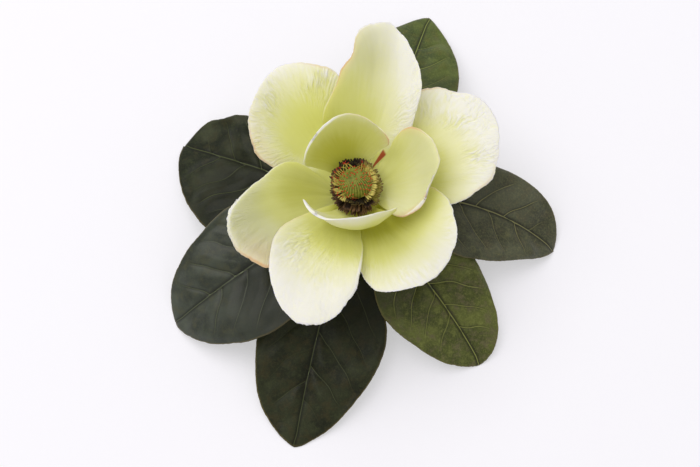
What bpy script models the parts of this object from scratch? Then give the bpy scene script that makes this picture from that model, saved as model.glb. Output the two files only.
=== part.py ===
"""Magnolia flower: nine petals, carpels and stamens on a cut twig, with six leaves, lying face up.

Lengths in the tables are in millimetres and angles in degrees. The flower's axis is upright and the surface
is z = 0. Every petal and leaf is one curved blade, described by its own line of sizes:
  azimuth, bend    which way it points, and how far that turns from its base to its tip
  length, rise     length of its middle line, and the slope of that line at base, middle and tip
  left, right      half-width multiplier at 0, 1/3, 2/3 and all of the length, seen from the flower's middle
  cup              how far each side curls up towards its edge, left and right
  keel             slope of the fold along its middle line, up on both sides
  lip              how far its outermost rim turns back
  waves            (height, number round the rim, phase) of the rim's slow waves
  dents            (place round the rim, width, depth) of the dents in its outline: the place is 0 at the tip
                   and + on the left, and the depth a share of the way in, negative for a bulge
  base_z           height of its base
"""

import math

import bmesh
import bpy
import numpy as np
from mathutils import Matrix, Vector

MM = 0.001
GAP = 0.3  # clearance between pieces that touch
WELD = 1e-6  # in metres: points closer than this are one

# The flower's axis stands here, so that the origin is under the middle of the whole part.
AXIS_X = -6.7
AXIS_Y = 2.8

PETAL_THICKNESS = 0.9
LEAF_THICKNESS = 0.9
PETAL_CELLS = 12
LEAF_CELLS = 12
MIDDLE_LINE_STEPS = 401

RECEPTACLE_RADIUS = 6.5
RECEPTACLE_BOTTOM = 44.5
RECEPTACLE_TOP = 66.2
TWIG_RADIUS = 4.6
TWIG_CUT_RADIUS = 4.2
TWIG_NECK_BOTTOM = 41.0
TWIG_BEND_START = 23.4
TWIG_BEND_RADIUS = 19.0
TWIG_BEND_STEPS = 6
TWIG_CUT_REACH = 70.0
TWIG_DIRECTION = 262.0
TWIG_BEVEL_RESOLUTION = 6

PETAL_BASE_RADIUS = RECEPTACLE_RADIUS + GAP
LEAF_BASE_RADIUS = 22.0
LEAF_POINTEDNESS = 1.55
KEEL_ROUNDING = 4.0
LIP_POWER = 8
WAVE_POWER = 3
DENT_POWER = 6
RIM_SHAPING_START = 0.12  # share of the length below which rims are plain
RIM_SHAPING_FULL = 0.45

PETALS = {
    "petal_outer_1": dict(
        azimuth=80, bend=16, length=97, rise=(10, 26, 22), base_z=50, keel=0.10, lip=1.5,
        left=(12, 32, 24, 40), right=(11, 24, 28, 20), cup=(20, 26), waves=(1.2, 4, 40),
        dents=((70, 8, -0.08), (50, 12, 0.05), (-50, 28, 0.04), (-92, 16, 0.09)),
    ),
    "petal_outer_2": dict(
        azimuth=128, bend=4, length=84, rise=(6, 18, 10), base_z=46, keel=0.0, lip=1.5,
        left=(12, 29, 34, 28), right=(12, 30, 37, 38), cup=(12, 8), waves=(1.0, 5, 0),
        dents=((18, 24, 0.07), (-62, 8, -0.03)),
    ),
    "petal_outer_3": dict(
        azimuth=203, bend=6, length=77, rise=(8, 22, 12), base_z=48, keel=0.06, lip=1.5,
        left=(12, 27, 34, 38), right=(14, 31, 24, 27), cup=(2, 18), waves=(1.2, 4, 200),
        dents=((46, 16, -0.06), (-24, 26, 0.03)),
    ),
    "petal_outer_4": dict(
        azimuth=255, bend=34, length=91, rise=(10, 20, 6), base_z=50, keel=0.05, lip=2.0,
        left=(14, 24, 26, 30), right=(8, 25, 28, 22), cup=(20, 24), waves=(1.0, 4, 90),
        dents=((5, 26, 0.04), (68, 11, -0.06), (-98, 16, -0.07)),
    ),
    "petal_outer_5": dict(
        azimuth=317, bend=6, length=69, rise=(8, 20, 10), base_z=48, keel=0.06, lip=1.0,
        left=(12, 32, 32, 32), right=(12, 30, 39, 42), cup=(22, 6), waves=(1.4, 4, 300),
        dents=((12, 16, 0.05), (-62, 12, -0.05), (72, 12, -0.03)),
    ),
    "petal_outer_6": dict(
        azimuth=24, bend=-6, length=89, rise=(6, 18, 10), base_z=46, keel=0.0, lip=2.0,
        left=(12, 36, 41, 50), right=(12, 30, 36, 36), cup=(12, 8), waves=(1.0, 5, 120),
        dents=((46, 18, 0.07), (-22, 20, 0.03), (-54, 9, -0.03)),
    ),
    "petal_inner_1": dict(
        azimuth=103, bend=0, length=50, rise=(14, 62, 76), base_z=54, keel=0.0, lip=1.0,
        left=(12, 25, 34, 22), right=(11, 21, 31, 27), cup=(60, 62), waves=(0.6, 3, 60),
        dents=((-42, 22, 0.10), (45, 24, 0.07)),
    ),
    "petal_inner_2": dict(
        azimuth=12, bend=0, length=52, rise=(14, 34, 48), base_z=52, keel=0.0, lip=1.5,
        left=(11, 19, 28, 35), right=(11, 27, 28, 14), cup=(30, 34), waves=(0.8, 4, 150),
        dents=((-42, 24, 0.22),),
    ),
    "petal_inner_3": dict(
        azimuth=275, bend=0, length=50, rise=(0, 60, 124), base_z=54, keel=0.0, lip=1.5,
        left=(12, 22, 27, 34), right=(12, 33, 41, 35), cup=(72, 72), waves=(0.5, 3, 0),
        dents=((40, 28, -0.10),),
    ),
}

LEAVES = {
    "leaf_1": dict(
        azimuth=214, bend=0, length=115, rise=(-2, -18, -43), base_z=38.8, keel=0.16, lip=1.0,
        left=(26, 40, 39, 46), right=(27, 40, 42, 56), cup=(-6, -6), waves=(1.2, 4, 30),
        dents=(),
    ),
    "leaf_2": dict(
        azimuth=256.5, bend=8, length=129, rise=(-9, -12, -15), base_z=27.5, keel=0.12, lip=1.0,
        left=(24, 42, 39, 42), right=(28, 36, 35, 44), cup=(-6, -8), waves=(1.2, 5, 100),
        dents=(),
    ),
    "leaf_3": dict(
        azimuth=346.5, bend=-38, length=114, rise=(-4, -18, -36), base_z=37.8, keel=0.16, lip=1.0,
        left=(24, 28, 29, 42), right=(24, 36, 33, 36), cup=(-6, -6), waves=(1.0, 4, 200),
        dents=((-50, 25, 0.06),),
    ),
    "leaf_4": dict(
        azimuth=308, bend=-12, length=105, rise=(-8, -17, -29), base_z=33.5, keel=0.14, lip=1.0,
        left=(24, 33, 31, 46), right=(25, 36, 32, 38), cup=(-8, -6), waves=(1.2, 4, 320),
        dents=(),
    ),
    "leaf_5": dict(
        azimuth=158, bend=-8, length=101, rise=(-8, -17, -26), base_z=31, keel=0.14, lip=1.0,
        left=(26, 44, 40, 40), right=(26, 35, 42, 84), cup=(-8, -2), waves=(1.5, 5, 20),
        dents=((-46, 16, 0.10),),
    ),
    "leaf_6": dict(
        azimuth=71, bend=4, length=130, rise=(-8, -17, -23.5), base_z=37.5, keel=0.16, lip=1.0,
        left=(20, 28, 32, 32), right=(20, 33, 33, 29), cup=(-6, -6), waves=(1.2, 4, 80),
        dents=(),
    ),
}

# The leaf stalk runs on under the blade as its midrib, and thins towards the tip.
STALK_RADIUS = 1.9
RIB_BASE_RADIUS = 1.5
RIB_TIP_RADIUS = 0.65
RIB_RAISED = 0.2  # how far the rib's back stands above the blade's middle layer
RIB_BEVEL_RESOLUTION = 1

CARPEL_RADIUS = 9.2
CARPEL_HEIGHT = 8.6
CARPEL_PROFILE_POINTS = 7
CARPEL_TURN_STEPS = 24
STIGMA_COUNT = 34
STIGMA_SPREAD = 0.72  # 1 would reach the dome's edge
STIGMA_LENGTH = 2.6
STIGMA_RADIUS = 0.55
STIGMA_LEAN = 40.0
STIGMA_SIDES = 5
STIGMA_ROOT_DEPTH = 0.93  # share of the dome's radius where the stigmas start
GOLDEN_ANGLE = 137.508

SLEEVE_INNER_RADIUS = RECEPTACLE_RADIUS + GAP
SLEEVE_OUTER_RADIUS = 8.6
SLEEVE_TURN_STEPS = 24
STAMENS_PER_ROW = 20
STAMENS = {
    "stamens_brown": dict(bottom=57.0, top=61.6, rows=((58.4, 16.0), (60.4, 26.0)), length=8.2),
    "stamens_yellow": dict(bottom=61.9, top=65.9, rows=((62.9, 26.0), (64.3, 38.0)), length=7.6),
}
STAMEN_ROOT_WIDTH = 1.1
STAMEN_TIP_WIDTH = 1.5
STAMEN_FLATNESS = 0.6
STAMEN_SINK = 1.0
STAMEN_SIDES = 4

COLOURS = {
    "petal": (0.80, 0.84, 0.52, 1.0),
    "leaf": (0.045, 0.060, 0.035, 1.0),
    "twig": (0.16, 0.10, 0.06, 1.0),
    "carpels": (0.22, 0.27, 0.06, 1.0),
    "stamens_brown": (0.045, 0.022, 0.016, 1.0),
    "stamens_yellow": (0.42, 0.38, 0.10, 1.0),
}
ROUGHNESS = {
    "petal": 0.62,
    "leaf": 0.48,
    "twig": 0.80,
    "carpels": 0.60,
    "stamens_brown": 0.75,
    "stamens_yellow": 0.65,
}


def clear_scene():
    for old in list(bpy.data.objects):
        bpy.data.objects.remove(old, do_unlink=True)


def new_collection(name):
    collection = bpy.data.collections.new(name)
    bpy.context.scene.collection.children.link(collection)
    return collection


def new_material(name):
    material = bpy.data.materials.new(name)
    material.use_nodes = True
    shader = material.node_tree.nodes["Principled BSDF"]
    shader.inputs["Base Color"].default_value = COLOURS[name]
    shader.inputs["Roughness"].default_value = ROUGHNESS[name]
    shader.inputs["Metallic"].default_value = 0.0
    return material


def three_stations(values, along):
    """Smooth value along a blade from its values at base, middle and tip."""
    base, middle, tip = values
    return (
        base * (1 - along) * (1 - 2 * along)
        + middle * 4 * along * (1 - along)
        + tip * along * (2 * along - 1)
    )


def four_stations(values, along):
    """Smooth value along a blade from its values at 0, 1/3, 2/3 and all of its length."""
    base, lower, upper, tip = values
    return (
        base * (1 - 3 * along) * (1 - 1.5 * along) * (1 - along)
        + lower * 9 * along * (1 - 1.5 * along) * (1 - along)
        + upper * 4.5 * along * (3 * along - 1) * (1 - along)
        + tip * along * (3 * along - 1) * (3 * along - 2) / 2
    )


def dented_disc(blade, across, lengthwise):
    """The disc's places, with its rim drawn in at each dent and out at each bulge."""
    from_middle = np.sqrt(across**2 + lengthwise**2)
    round_rim = np.degrees(np.arctan2(across, lengthwise))
    pull = 0 * across
    for place, width, depth in blade["dents"]:
        pull = pull + depth * np.exp(-(((round_rim - place) / width) ** 2))
    scale = 1 - pull * from_middle**DENT_POWER
    return across * scale, lengthwise * scale


def blade_points(blade, base_radius, pointedness, across, lengthwise):
    """Points of a blade's middle layer, for places (across, lengthwise) in a disc of radius 1.

    The middle line leaves the base circle and follows the blade's slope and bend. From it, each point goes
    sideways along an arc that curls up by the cup angle at the widest place, and is raised by the keel's fold
    and the rim's waves, which grow towards the rim of the disc, and lowered by the rim's lip.
    """
    along = (lengthwise + 1) / 2
    steps = np.linspace(0, 1, MIDDLE_LINE_STEPS)
    slope = np.radians(three_stations(blade["rise"], steps))
    heading = np.radians(blade["azimuth"] + blade["bend"] * (steps - 0.5))
    tangent = np.stack([np.cos(slope) * np.cos(heading), np.cos(slope) * np.sin(heading), np.sin(slope)])
    run = np.cumsum((tangent[:, 1:] + tangent[:, :-1]) / 2, axis=1) * blade["length"] / (len(steps) - 1)
    run = np.concatenate([np.zeros((3, 1)), run], axis=1)
    start = (base_radius * np.cos(heading[0]), base_radius * np.sin(heading[0]), blade["base_z"])
    middle = np.stack([np.interp(along, steps, run[i] + start[i]) for i in range(3)], axis=-1)

    slope = np.interp(along, steps, slope)
    heading = np.interp(along, steps, heading)
    sideways = np.stack([-np.sin(heading), np.cos(heading), 0 * heading], axis=-1)
    inward = np.stack(
        [-np.sin(slope) * np.cos(heading), -np.sin(slope) * np.sin(heading), np.cos(slope)], axis=-1
    )

    on_left = across > 0
    half = np.where(on_left, four_stations(blade["left"], along), four_stations(blade["right"], along))
    chord = np.sqrt(np.clip(1 - lengthwise**2, 1e-12, 1))
    reach = across * half * chord ** (pointedness - 1)
    widest = np.where(on_left, max(blade["left"]), max(blade["right"]))
    curl = np.radians(np.where(on_left, blade["cup"][0], blade["cup"][1])) / widest
    out = np.sin(curl * reach) / curl
    up = (1 - np.cos(curl * reach)) / curl
    up = up + blade["keel"] * (np.sqrt(out**2 + KEEL_ROUNDING**2) - KEEL_ROUNDING)

    from_middle = np.sqrt(across**2 + lengthwise**2)
    round_rim = np.arctan2(across, lengthwise)
    height, count, phase = blade["waves"]
    wave = height * from_middle**WAVE_POWER * np.sin(count * round_rim + math.radians(phase))
    shaped = np.clip((along - RIM_SHAPING_START) / (RIM_SHAPING_FULL - RIM_SHAPING_START), 0, 1)
    up = up + shaped * (wave - blade["lip"] * from_middle**LIP_POWER)
    return middle + out[..., None] * sideways + up[..., None] * inward


def blade_object(name, blade, base_radius, pointedness, thickness, cells, material, parts, stand):
    """A square grid bent into the blade's shape, split into triangles and given its thickness."""
    bm = bmesh.new()
    bmesh.ops.create_grid(bm, x_segments=cells, y_segments=cells, size=1)
    flat = np.array([vertex.co for vertex in bm.verts])
    u, v = flat[:, 0], flat[:, 1]
    across, lengthwise = dented_disc(blade, u * np.sqrt(1 - v**2 / 2), v * np.sqrt(1 - u**2 / 2))
    shaped = blade_points(blade, base_radius, pointedness, across, lengthwise) * MM
    for vertex, place in zip(bm.verts, shaped):
        vertex.co = place
    bmesh.ops.triangulate(bm, faces=bm.faces, quad_method="SHORT_EDGE")
    mesh = bpy.data.meshes.new(name)
    bm.to_mesh(mesh)
    bm.free()
    mesh.materials.append(material)
    obj = bpy.data.objects.new(name, mesh)
    parts.objects.link(obj)
    obj.parent = stand
    wall = obj.modifiers.new("thickness", "SOLIDIFY")
    wall.thickness = thickness * MM
    wall.offset = 0
    return obj


def tube_object(name, points, radii, bevel_resolution, material, collection, stand):
    """A closed tube along the points, made a mesh with its caps welded."""
    curve = bpy.data.curves.new(name + "_line", "CURVE")
    curve.dimensions = "3D"
    curve.bevel_depth = MM
    curve.bevel_resolution = bevel_resolution
    curve.use_fill_caps = True
    spline = curve.splines.new("POLY")
    spline.points.add(len(points) - 1)
    for spot, place, radius in zip(spline.points, points, radii):
        spot.co = (*(Vector(place) * MM), 1)
        spot.radius = radius
    line = bpy.data.objects.new(name + "_line", curve)
    collection.objects.link(line)
    bpy.context.view_layer.update()
    graph = bpy.context.evaluated_depsgraph_get()
    mesh = bpy.data.meshes.new_from_object(line.evaluated_get(graph))
    bpy.data.objects.remove(line, do_unlink=True)
    bm = bmesh.new()
    bm.from_mesh(mesh)
    bmesh.ops.remove_doubles(bm, verts=bm.verts, dist=WELD)
    bmesh.ops.recalc_face_normals(bm, faces=bm.faces)
    bm.to_mesh(mesh)
    bm.free()
    mesh.name = name
    mesh.materials.clear()
    mesh.materials.append(material)
    obj = bpy.data.objects.new(name, mesh)
    collection.objects.link(obj)
    obj.parent = stand
    return obj


def join_to(obj, helper):
    """Fuses the helper solid into the object."""
    helper.hide_render = True
    union = obj.modifiers.new("with " + helper.name, "BOOLEAN")
    union.operation = "UNION"
    union.solver = "EXACT"
    union.object = helper


def make_petal(name, blade, material, parts, stand):
    blade_object(
        name, blade, PETAL_BASE_RADIUS, 1.0, PETAL_THICKNESS, PETAL_CELLS, material, parts, stand
    )


def make_leaf(name, blade, material, parts, cutters, stand):
    """A pointed blade with its stalk, which runs on under it as the midrib, from row to row of its grid."""
    obj = blade_object(
        name, blade, LEAF_BASE_RADIUS, LEAF_POINTEDNESS, LEAF_THICKNESS, LEAF_CELLS, material, parts, stand
    )
    share = np.arange(LEAF_CELLS) / LEAF_CELLS
    spine = blade_points(blade, LEAF_BASE_RADIUS, LEAF_POINTEDNESS, 0 * share, 2 * share - 1)
    radii = RIB_BASE_RADIUS + (RIB_TIP_RADIUS - RIB_BASE_RADIUS) * share
    spine[:, 2] -= radii - RIB_RAISED
    heading = math.radians(blade["azimuth"] - blade["bend"] / 2)
    root = TWIG_RADIUS + GAP
    root_z = spine[0, 2] - (LEAF_BASE_RADIUS - root) * math.tan(math.radians(blade["rise"][0]))
    points = [(root * math.cos(heading), root * math.sin(heading), root_z), *spine.tolist()]
    radii = [STALK_RADIUS, *radii]
    rib = tube_object(name + "_rib", points, radii, RIB_BEVEL_RESOLUTION, material, cutters, stand)
    join_to(obj, rib)


def make_twig(material, parts, stand):
    """The receptacle, the upright neck under it, and the twig's bend down to where it lies."""
    heading = math.radians(TWIG_DIRECTION)
    rest_z = TWIG_BEND_START - TWIG_BEND_RADIUS
    stations = [
        (0.0, RECEPTACLE_TOP, RECEPTACLE_RADIUS),
        (0.0, RECEPTACLE_BOTTOM, RECEPTACLE_RADIUS),
        (0.0, TWIG_NECK_BOTTOM, TWIG_RADIUS),
        (0.0, TWIG_BEND_START, TWIG_RADIUS),
    ]
    for step in range(1, TWIG_BEND_STEPS + 1):
        turn = math.pi / 2 * step / TWIG_BEND_STEPS
        out = TWIG_BEND_RADIUS * (1 - math.cos(turn))
        down = TWIG_BEND_START - TWIG_BEND_RADIUS * math.sin(turn)
        thin = TWIG_RADIUS + (TWIG_CUT_RADIUS - TWIG_RADIUS) * step / TWIG_BEND_STEPS
        stations.append((out, down, thin))
    stations.append((TWIG_CUT_REACH, rest_z, TWIG_CUT_RADIUS))
    points = [(out * math.cos(heading), out * math.sin(heading), z) for out, z, _ in stations]
    radii = [radius for _, _, radius in stations]
    tube_object("twig", points, radii, TWIG_BEVEL_RESOLUTION, material, parts, stand)


def turned_object(name, profile, steps, material, parts, stand):
    """A closed solid turned about the flower's axis from its profile of (radius, height)."""
    bm = bmesh.new()
    corners = [bm.verts.new((radius * MM, 0, z * MM)) for radius, z in profile]
    for first, second in zip(corners, corners[1:]):
        bm.edges.new((first, second))
    mesh = bpy.data.meshes.new(name)
    bm.to_mesh(mesh)
    bm.free()
    mesh.materials.append(material)
    obj = bpy.data.objects.new(name, mesh)
    parts.objects.link(obj)
    obj.parent = stand
    screw = obj.modifiers.new("turn", "SCREW")
    screw.steps = steps
    screw.render_steps = steps
    screw.use_merge_vertices = True
    screw.merge_threshold = WELD
    screw.use_normal_calculate = True
    return obj


def spikes_object(name, spikes, sides, root_width, tip_width, flatness, material, cutters, stand):
    """Tapered spikes in one helper mesh: each has a root, a direction and a length."""
    bm = bmesh.new()
    for root, direction, length in spikes:
        turn = direction.to_track_quat("Z", "Y").to_matrix().to_4x4()
        place = Matrix.Translation((root + direction * length / 2) * MM)
        squeeze = Matrix.Diagonal((1, flatness, 1, 1))
        bmesh.ops.create_cone(
            bm, cap_ends=True, cap_tris=True, segments=sides, radius1=root_width * MM / 2,
            radius2=tip_width * MM / 2, depth=length * MM, matrix=place @ turn @ squeeze,
        )
    mesh = bpy.data.meshes.new(name)
    bm.to_mesh(mesh)
    bm.free()
    mesh.materials.append(material)
    obj = bpy.data.objects.new(name, mesh)
    cutters.objects.link(obj)
    obj.parent = stand
    return obj


def make_carpels(material, parts, cutters, stand):
    """The dome of carpels, with its stigmas set in a spiral."""
    base = RECEPTACLE_TOP + GAP
    arc = [math.pi / 2 * i / (CARPEL_PROFILE_POINTS - 1) for i in range(CARPEL_PROFILE_POINTS)]
    profile = [(0, base + CARPEL_HEIGHT)]
    profile += [(CARPEL_RADIUS * math.sin(a), base + CARPEL_HEIGHT * math.cos(a)) for a in arc[1:]]
    profile.append((0, base))
    dome = turned_object("carpels", profile, CARPEL_TURN_STEPS, material, parts, stand)
    spikes = []
    for i in range(STIGMA_COUNT):
        tilt = math.acos(1 - STIGMA_SPREAD * (i + 0.5) / STIGMA_COUNT)
        turn = math.radians(GOLDEN_ANGLE * i)
        out = Vector((math.cos(turn), math.sin(turn), 0))
        root = out * CARPEL_RADIUS * math.sin(tilt) * STIGMA_ROOT_DEPTH
        root.z = base + CARPEL_HEIGHT * math.cos(tilt) * STIGMA_ROOT_DEPTH
        lean = tilt + math.radians(STIGMA_LEAN) * (1 - tilt / math.pi)
        spikes.append((root, out * math.sin(lean) + Vector((0, 0, math.cos(lean))), STIGMA_LENGTH))
    stigmas = spikes_object(
        "stigmas", spikes, STIGMA_SIDES, 2 * STIGMA_RADIUS, STIGMA_RADIUS, 1.0, material, cutters, stand
    )
    join_to(dome, stigmas)


def make_stamens(name, whorl, material, parts, cutters, stand):
    """A sleeve round the receptacle with two rows of stamens that spread outward and up."""
    low, high = whorl["bottom"], whorl["top"]
    corners = [(SLEEVE_INNER_RADIUS, low), (SLEEVE_OUTER_RADIUS, low)]
    corners += [(SLEEVE_OUTER_RADIUS, high), (SLEEVE_INNER_RADIUS, high), (SLEEVE_INNER_RADIUS, low)]
    sleeve = turned_object(name, corners, SLEEVE_TURN_STEPS, material, parts, stand)
    spikes = []
    for row, (height, rise) in enumerate(whorl["rows"]):
        for i in range(STAMENS_PER_ROW):
            turn = 2 * math.pi * (i + 0.5 * row) / STAMENS_PER_ROW
            out = Vector((math.cos(turn), math.sin(turn), 0))
            root = out * (SLEEVE_OUTER_RADIUS - STAMEN_SINK) + Vector((0, 0, height))
            slope = math.radians(rise)
            spikes.append((root, out * math.cos(slope) + Vector((0, 0, math.sin(slope))), whorl["length"]))
    filaments = spikes_object(
        name + "_filaments", spikes, STAMEN_SIDES, STAMEN_ROOT_WIDTH, STAMEN_TIP_WIDTH, STAMEN_FLATNESS,
        material, cutters, stand,
    )
    join_to(sleeve, filaments)


def main():
    clear_scene()
    parts = new_collection("magnolia_flower")
    cutters = new_collection("cutters")
    materials = {name: new_material(name) for name in COLOURS}
    stand = bpy.data.objects.new("flower_axis", None)
    stand.location = (AXIS_X * MM, AXIS_Y * MM, 0)
    parts.objects.link(stand)

    for name, blade in PETALS.items():
        make_petal(name, blade, materials["petal"], parts, stand)
    for name, blade in LEAVES.items():
        make_leaf(name, blade, materials["leaf"], parts, cutters, stand)
    make_twig(materials["twig"], parts, stand)
    make_carpels(materials["carpels"], parts, cutters, stand)
    for name, whorl in STAMENS.items():
        make_stamens(name, whorl, materials[name], parts, cutters, stand)


main()
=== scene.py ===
import math

import bpy
import numpy as np
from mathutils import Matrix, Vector


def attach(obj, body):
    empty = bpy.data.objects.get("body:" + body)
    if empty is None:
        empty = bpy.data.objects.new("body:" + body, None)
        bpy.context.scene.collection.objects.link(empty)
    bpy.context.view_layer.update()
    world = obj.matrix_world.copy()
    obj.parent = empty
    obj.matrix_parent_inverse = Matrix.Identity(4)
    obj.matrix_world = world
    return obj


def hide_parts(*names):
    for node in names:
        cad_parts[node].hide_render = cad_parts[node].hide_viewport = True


# An open magnolia bloom that lies face up on a pale floor. Petals, leaves, carpels, stamens and twig take the
# place of the plain solids, each worked out with numpy from the same measures, in millimetres and degrees.

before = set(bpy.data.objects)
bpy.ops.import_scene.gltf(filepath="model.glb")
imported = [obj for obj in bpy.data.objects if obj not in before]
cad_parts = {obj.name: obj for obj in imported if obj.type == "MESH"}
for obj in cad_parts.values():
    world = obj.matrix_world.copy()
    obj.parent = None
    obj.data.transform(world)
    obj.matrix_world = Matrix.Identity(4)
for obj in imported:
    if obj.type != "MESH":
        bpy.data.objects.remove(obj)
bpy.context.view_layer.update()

mm = 0.001
flowerAxis = np.array([-6.7, 2.8, 0.0])  # where the bloom's upright axis meets the floor


# Numbers shared by every surface

def softNoise(x, y, seed):
    # Value noise, -1 to 1: seeded random numbers on a wrapped lattice, eased between. A number added to x or y
    # moves the pattern along.
    lattice = np.random.default_rng(seed).uniform(-1, 1, (64, 64))
    left, low = np.floor(x).astype(int), np.floor(y).astype(int)
    fx, fy = x - left, y - low
    fx, fy = fx * fx * (3 - 2 * fx), fy * fy * (3 - 2 * fy)
    corner = [[lattice[(left + i) % 64, (low + j) % 64] for j in (0, 1)] for i in (0, 1)]
    lower = corner[0][0] * (1 - fx) + corner[1][0] * fx
    upper = corner[0][1] * (1 - fx) + corner[1][1] * fx
    return lower * (1 - fy) + upper * fy


def eased(low, high, value):  # 0 below low, 1 above high, and a smooth cubic between
    t = np.clip((value - low) / (high - low), 0, 1)
    return t * t * (3 - 2 * t)


def hump(value, middle, width):  # a bell: 1 at the middle, falling with the square of the distance in widths
    return np.exp(-((value - middle) / width) ** 2)


def bellRound(azimuth, middle, reach):  # 1 at the middle azimuth, falling both ways round the circle
    return hump((azimuth - middle + 180) % 360 - 180, 0, reach)


def curveThrough(values, along):  # the polynomial through values that stand evenly from base (0) to tip (1)
    places = np.linspace(0, 1, len(values))
    return np.polyval(np.polyfit(places, values, len(values) - 1), along)


def axesAlong(slope, heading):  # unit vectors ahead, left and up from a line with this slope and heading
    level, steep, x, y = np.cos(slope), np.sin(slope), np.cos(heading), np.sin(heading)
    axes = (level * x, level * y, steep), (-y, x, 0 * x), (-steep * x, -steep * y, level)
    return [np.stack(axis, axis=-1) for axis in axes]


# Meshes

def addPiece(name, points, faces, material, replaces, attributes, uvMaps=None):
    # One smooth mesh object at the origin from an array of points and a list of face arrays. It rides on the
    # root and takes the place of one solid. Attributes and UV maps hold one value or pair for each point.
    mesh = bpy.data.meshes.new(name)
    corners = [face for block in faces for face in block.tolist()]
    mesh.from_pydata((points * mm).tolist(), [], corners)
    mesh.polygons.foreach_set("use_smooth", [True] * len(mesh.polygons))
    order = np.empty(len(mesh.loops), dtype=np.int32)
    mesh.loops.foreach_get("vertex_index", order)
    for mapName, uv in (uvMaps or {}).items():
        layer = mesh.uv_layers.new(name=mapName)
        layer.uv.foreach_set("vector", uv[order].astype(np.float32).ravel())
    for attributeName, values in attributes.items():
        layer = mesh.attributes.new(attributeName, "FLOAT", "POINT")
        layer.data.foreach_set("value", values.astype(np.float32).ravel())
    mesh.materials.append(material)
    piece = bpy.data.objects.new(name, mesh)
    bpy.context.scene.collection.objects.link(piece)
    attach(piece, "root")
    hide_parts(replaces)


def discGrid(cells):  # a square grid squeezed to the unit disc, as (across, lengthwise)
    u, v = np.meshgrid(np.linspace(-1, 1, cells + 1), np.linspace(-1, 1, cells + 1), indexing="ij")
    return u * np.sqrt(1 - v * v / 2), v * np.sqrt(1 - u * u / 2)


def surfaceNormals(points):  # unit cross product of the grid's two directions, out of the upper face
    normal = np.cross(np.gradient(points, axis=1), np.gradient(points, axis=0))
    return normal / np.maximum(np.linalg.norm(normal, axis=-1, keepdims=True), 1e-9)


def closedSheet(middle, normals, thickness, toRim):
    # Two skins either side of the middle layer that close to one edge: each stands off by half the thickness
    # times the root of 1 - r^edgePower, so the edge is round. Returns points and faces.
    edgePower = 50
    rows, columns = toRim.shape
    stand = thickness / 2 * np.sqrt(np.clip(1 - toRim ** edgePower, 0, 1))[..., None]
    upper = np.arange(rows * columns).reshape(rows, columns)
    lower = upper.copy()
    lower[1:-1, 1:-1] = rows * columns + np.arange((rows - 2) * (columns - 2)).reshape(rows - 2, columns - 2)
    points = np.concatenate([
        (middle + normals * stand).reshape(-1, 3),
        (middle - normals * stand)[1:-1, 1:-1].reshape(-1, 3),
    ])

    def quads(index):
        corners = index[:-1, :-1], index[1:, :-1], index[1:, 1:], index[:-1, 1:]
        return np.stack(corners, axis=-1).reshape(-1, 4)

    return points, [quads(upper)[:, ::-1], quads(lower)]


def onBothSkins(values):  # a value of each grid point, repeated for the lower skin's inner points
    return np.concatenate([skin.reshape(-1, *values.shape[2:]) for skin in (values, values[1:-1, 1:-1])])


def directionAlong(path):  # unit steps from point to point of a path
    flow = np.gradient(path, axis=0)
    return flow / np.linalg.norm(flow, axis=1, keepdims=True)


def straps(centres, widthAxis, thickAxis, halfWidth, halfThick, sides):
    # Closed straps of oval section, many at once: rings of centre + width axis * cos + thickness axis * sin.
    # centres is (straps, rings, 3). Returns points, faces and each point's share of the way along.
    count, rings = centres.shape[:2]
    turn = np.linspace(0, 2 * math.pi, sides, endpoint=False)
    ring = (widthAxis[:, :, None] * (halfWidth[..., None] * np.cos(turn))[..., None]
            + thickAxis[:, :, None] * (halfThick[..., None] * np.sin(turn))[..., None])
    points = (centres[:, :, None] + ring).reshape(-1, 3)
    index = np.arange(count * rings * sides).reshape(count, rings, sides)
    after = np.roll(index, -1, axis=2)
    sleeve = np.stack([index[:, :-1], after[:, :-1], after[:, 1:], index[:, 1:]], axis=-1).reshape(-1, 4)
    share = np.broadcast_to(np.linspace(0, 1, rings)[None, :, None], index.shape).ravel()
    return points, [sleeve, index[:, 0, ::-1], index[:, -1]], share


def joined(parts):  # several (points, faces, values) sets as one, with the face indices moved up
    points, faces, values, start = [], [], [], 0
    for somePoints, someFaces, someValues in parts:
        points.append(somePoints)
        values.append(someValues)
        faces += [block + start for block in someFaces]
        start += len(somePoints)
    return np.concatenate(points), faces, np.concatenate(values)


# Materials

asColour = {"data_type": "RGBA"}
asEased = {"interpolation_type": "SMOOTHSTEP"}


def srgb(code):  # a hex colour to linear red, green, blue and 1
    parts = [int(code[i:i + 2], 16) / 255 for i in (1, 3, 5)]
    return tuple(c / 12.92 if c <= 0.04045 else ((c + 0.055) / 1.055) ** 2.4 for c in parts) + (1.0,)


def setInputs(tree, node, inputs):  # each a number, a hex colour or the socket that it is linked from
    for key, value in inputs.items():
        if isinstance(value, bpy.types.NodeSocket):
            tree.links.new(value, node.inputs[key])
        else:
            node.inputs[key].default_value = srgb(value) if isinstance(value, str) else value


def addNode(tree, kind, settings, inputs, output=0):
    # Adds one shader node with its settings and its inputs, and returns the output that is asked for
    node = tree.nodes.new("ShaderNode" + kind)
    for key, value in settings.items():
        setattr(node, key, value)
    setInputs(tree, node, inputs)
    return node.outputs[output]


def newMaterial(name, inputs):  # a material whose shader takes single values on its own sockets
    material = bpy.data.materials.new(name)
    material.use_nodes = True
    shader = material.node_tree.nodes["Principled BSDF"]
    setInputs(material.node_tree, shader, inputs)
    return material, material.node_tree, shader


def layColours(tree, colour, layers):
    # Lays colours over one another. Each layer has the value that shows it, the value from which it shows
    # and the one at which it shows fully, its colour, and how much of it shows then.
    for value, start, full, nextColour, most in layers:
        share = addNode(tree, "MapRange", asEased, {
            "Value": value, "From Min": start, "From Max": full, "To Max": most})
        colour = addNode(tree, "Mix", asColour, {0: share, 6: colour, 7: nextColour}, 2)
    return colour


# Petals

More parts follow.
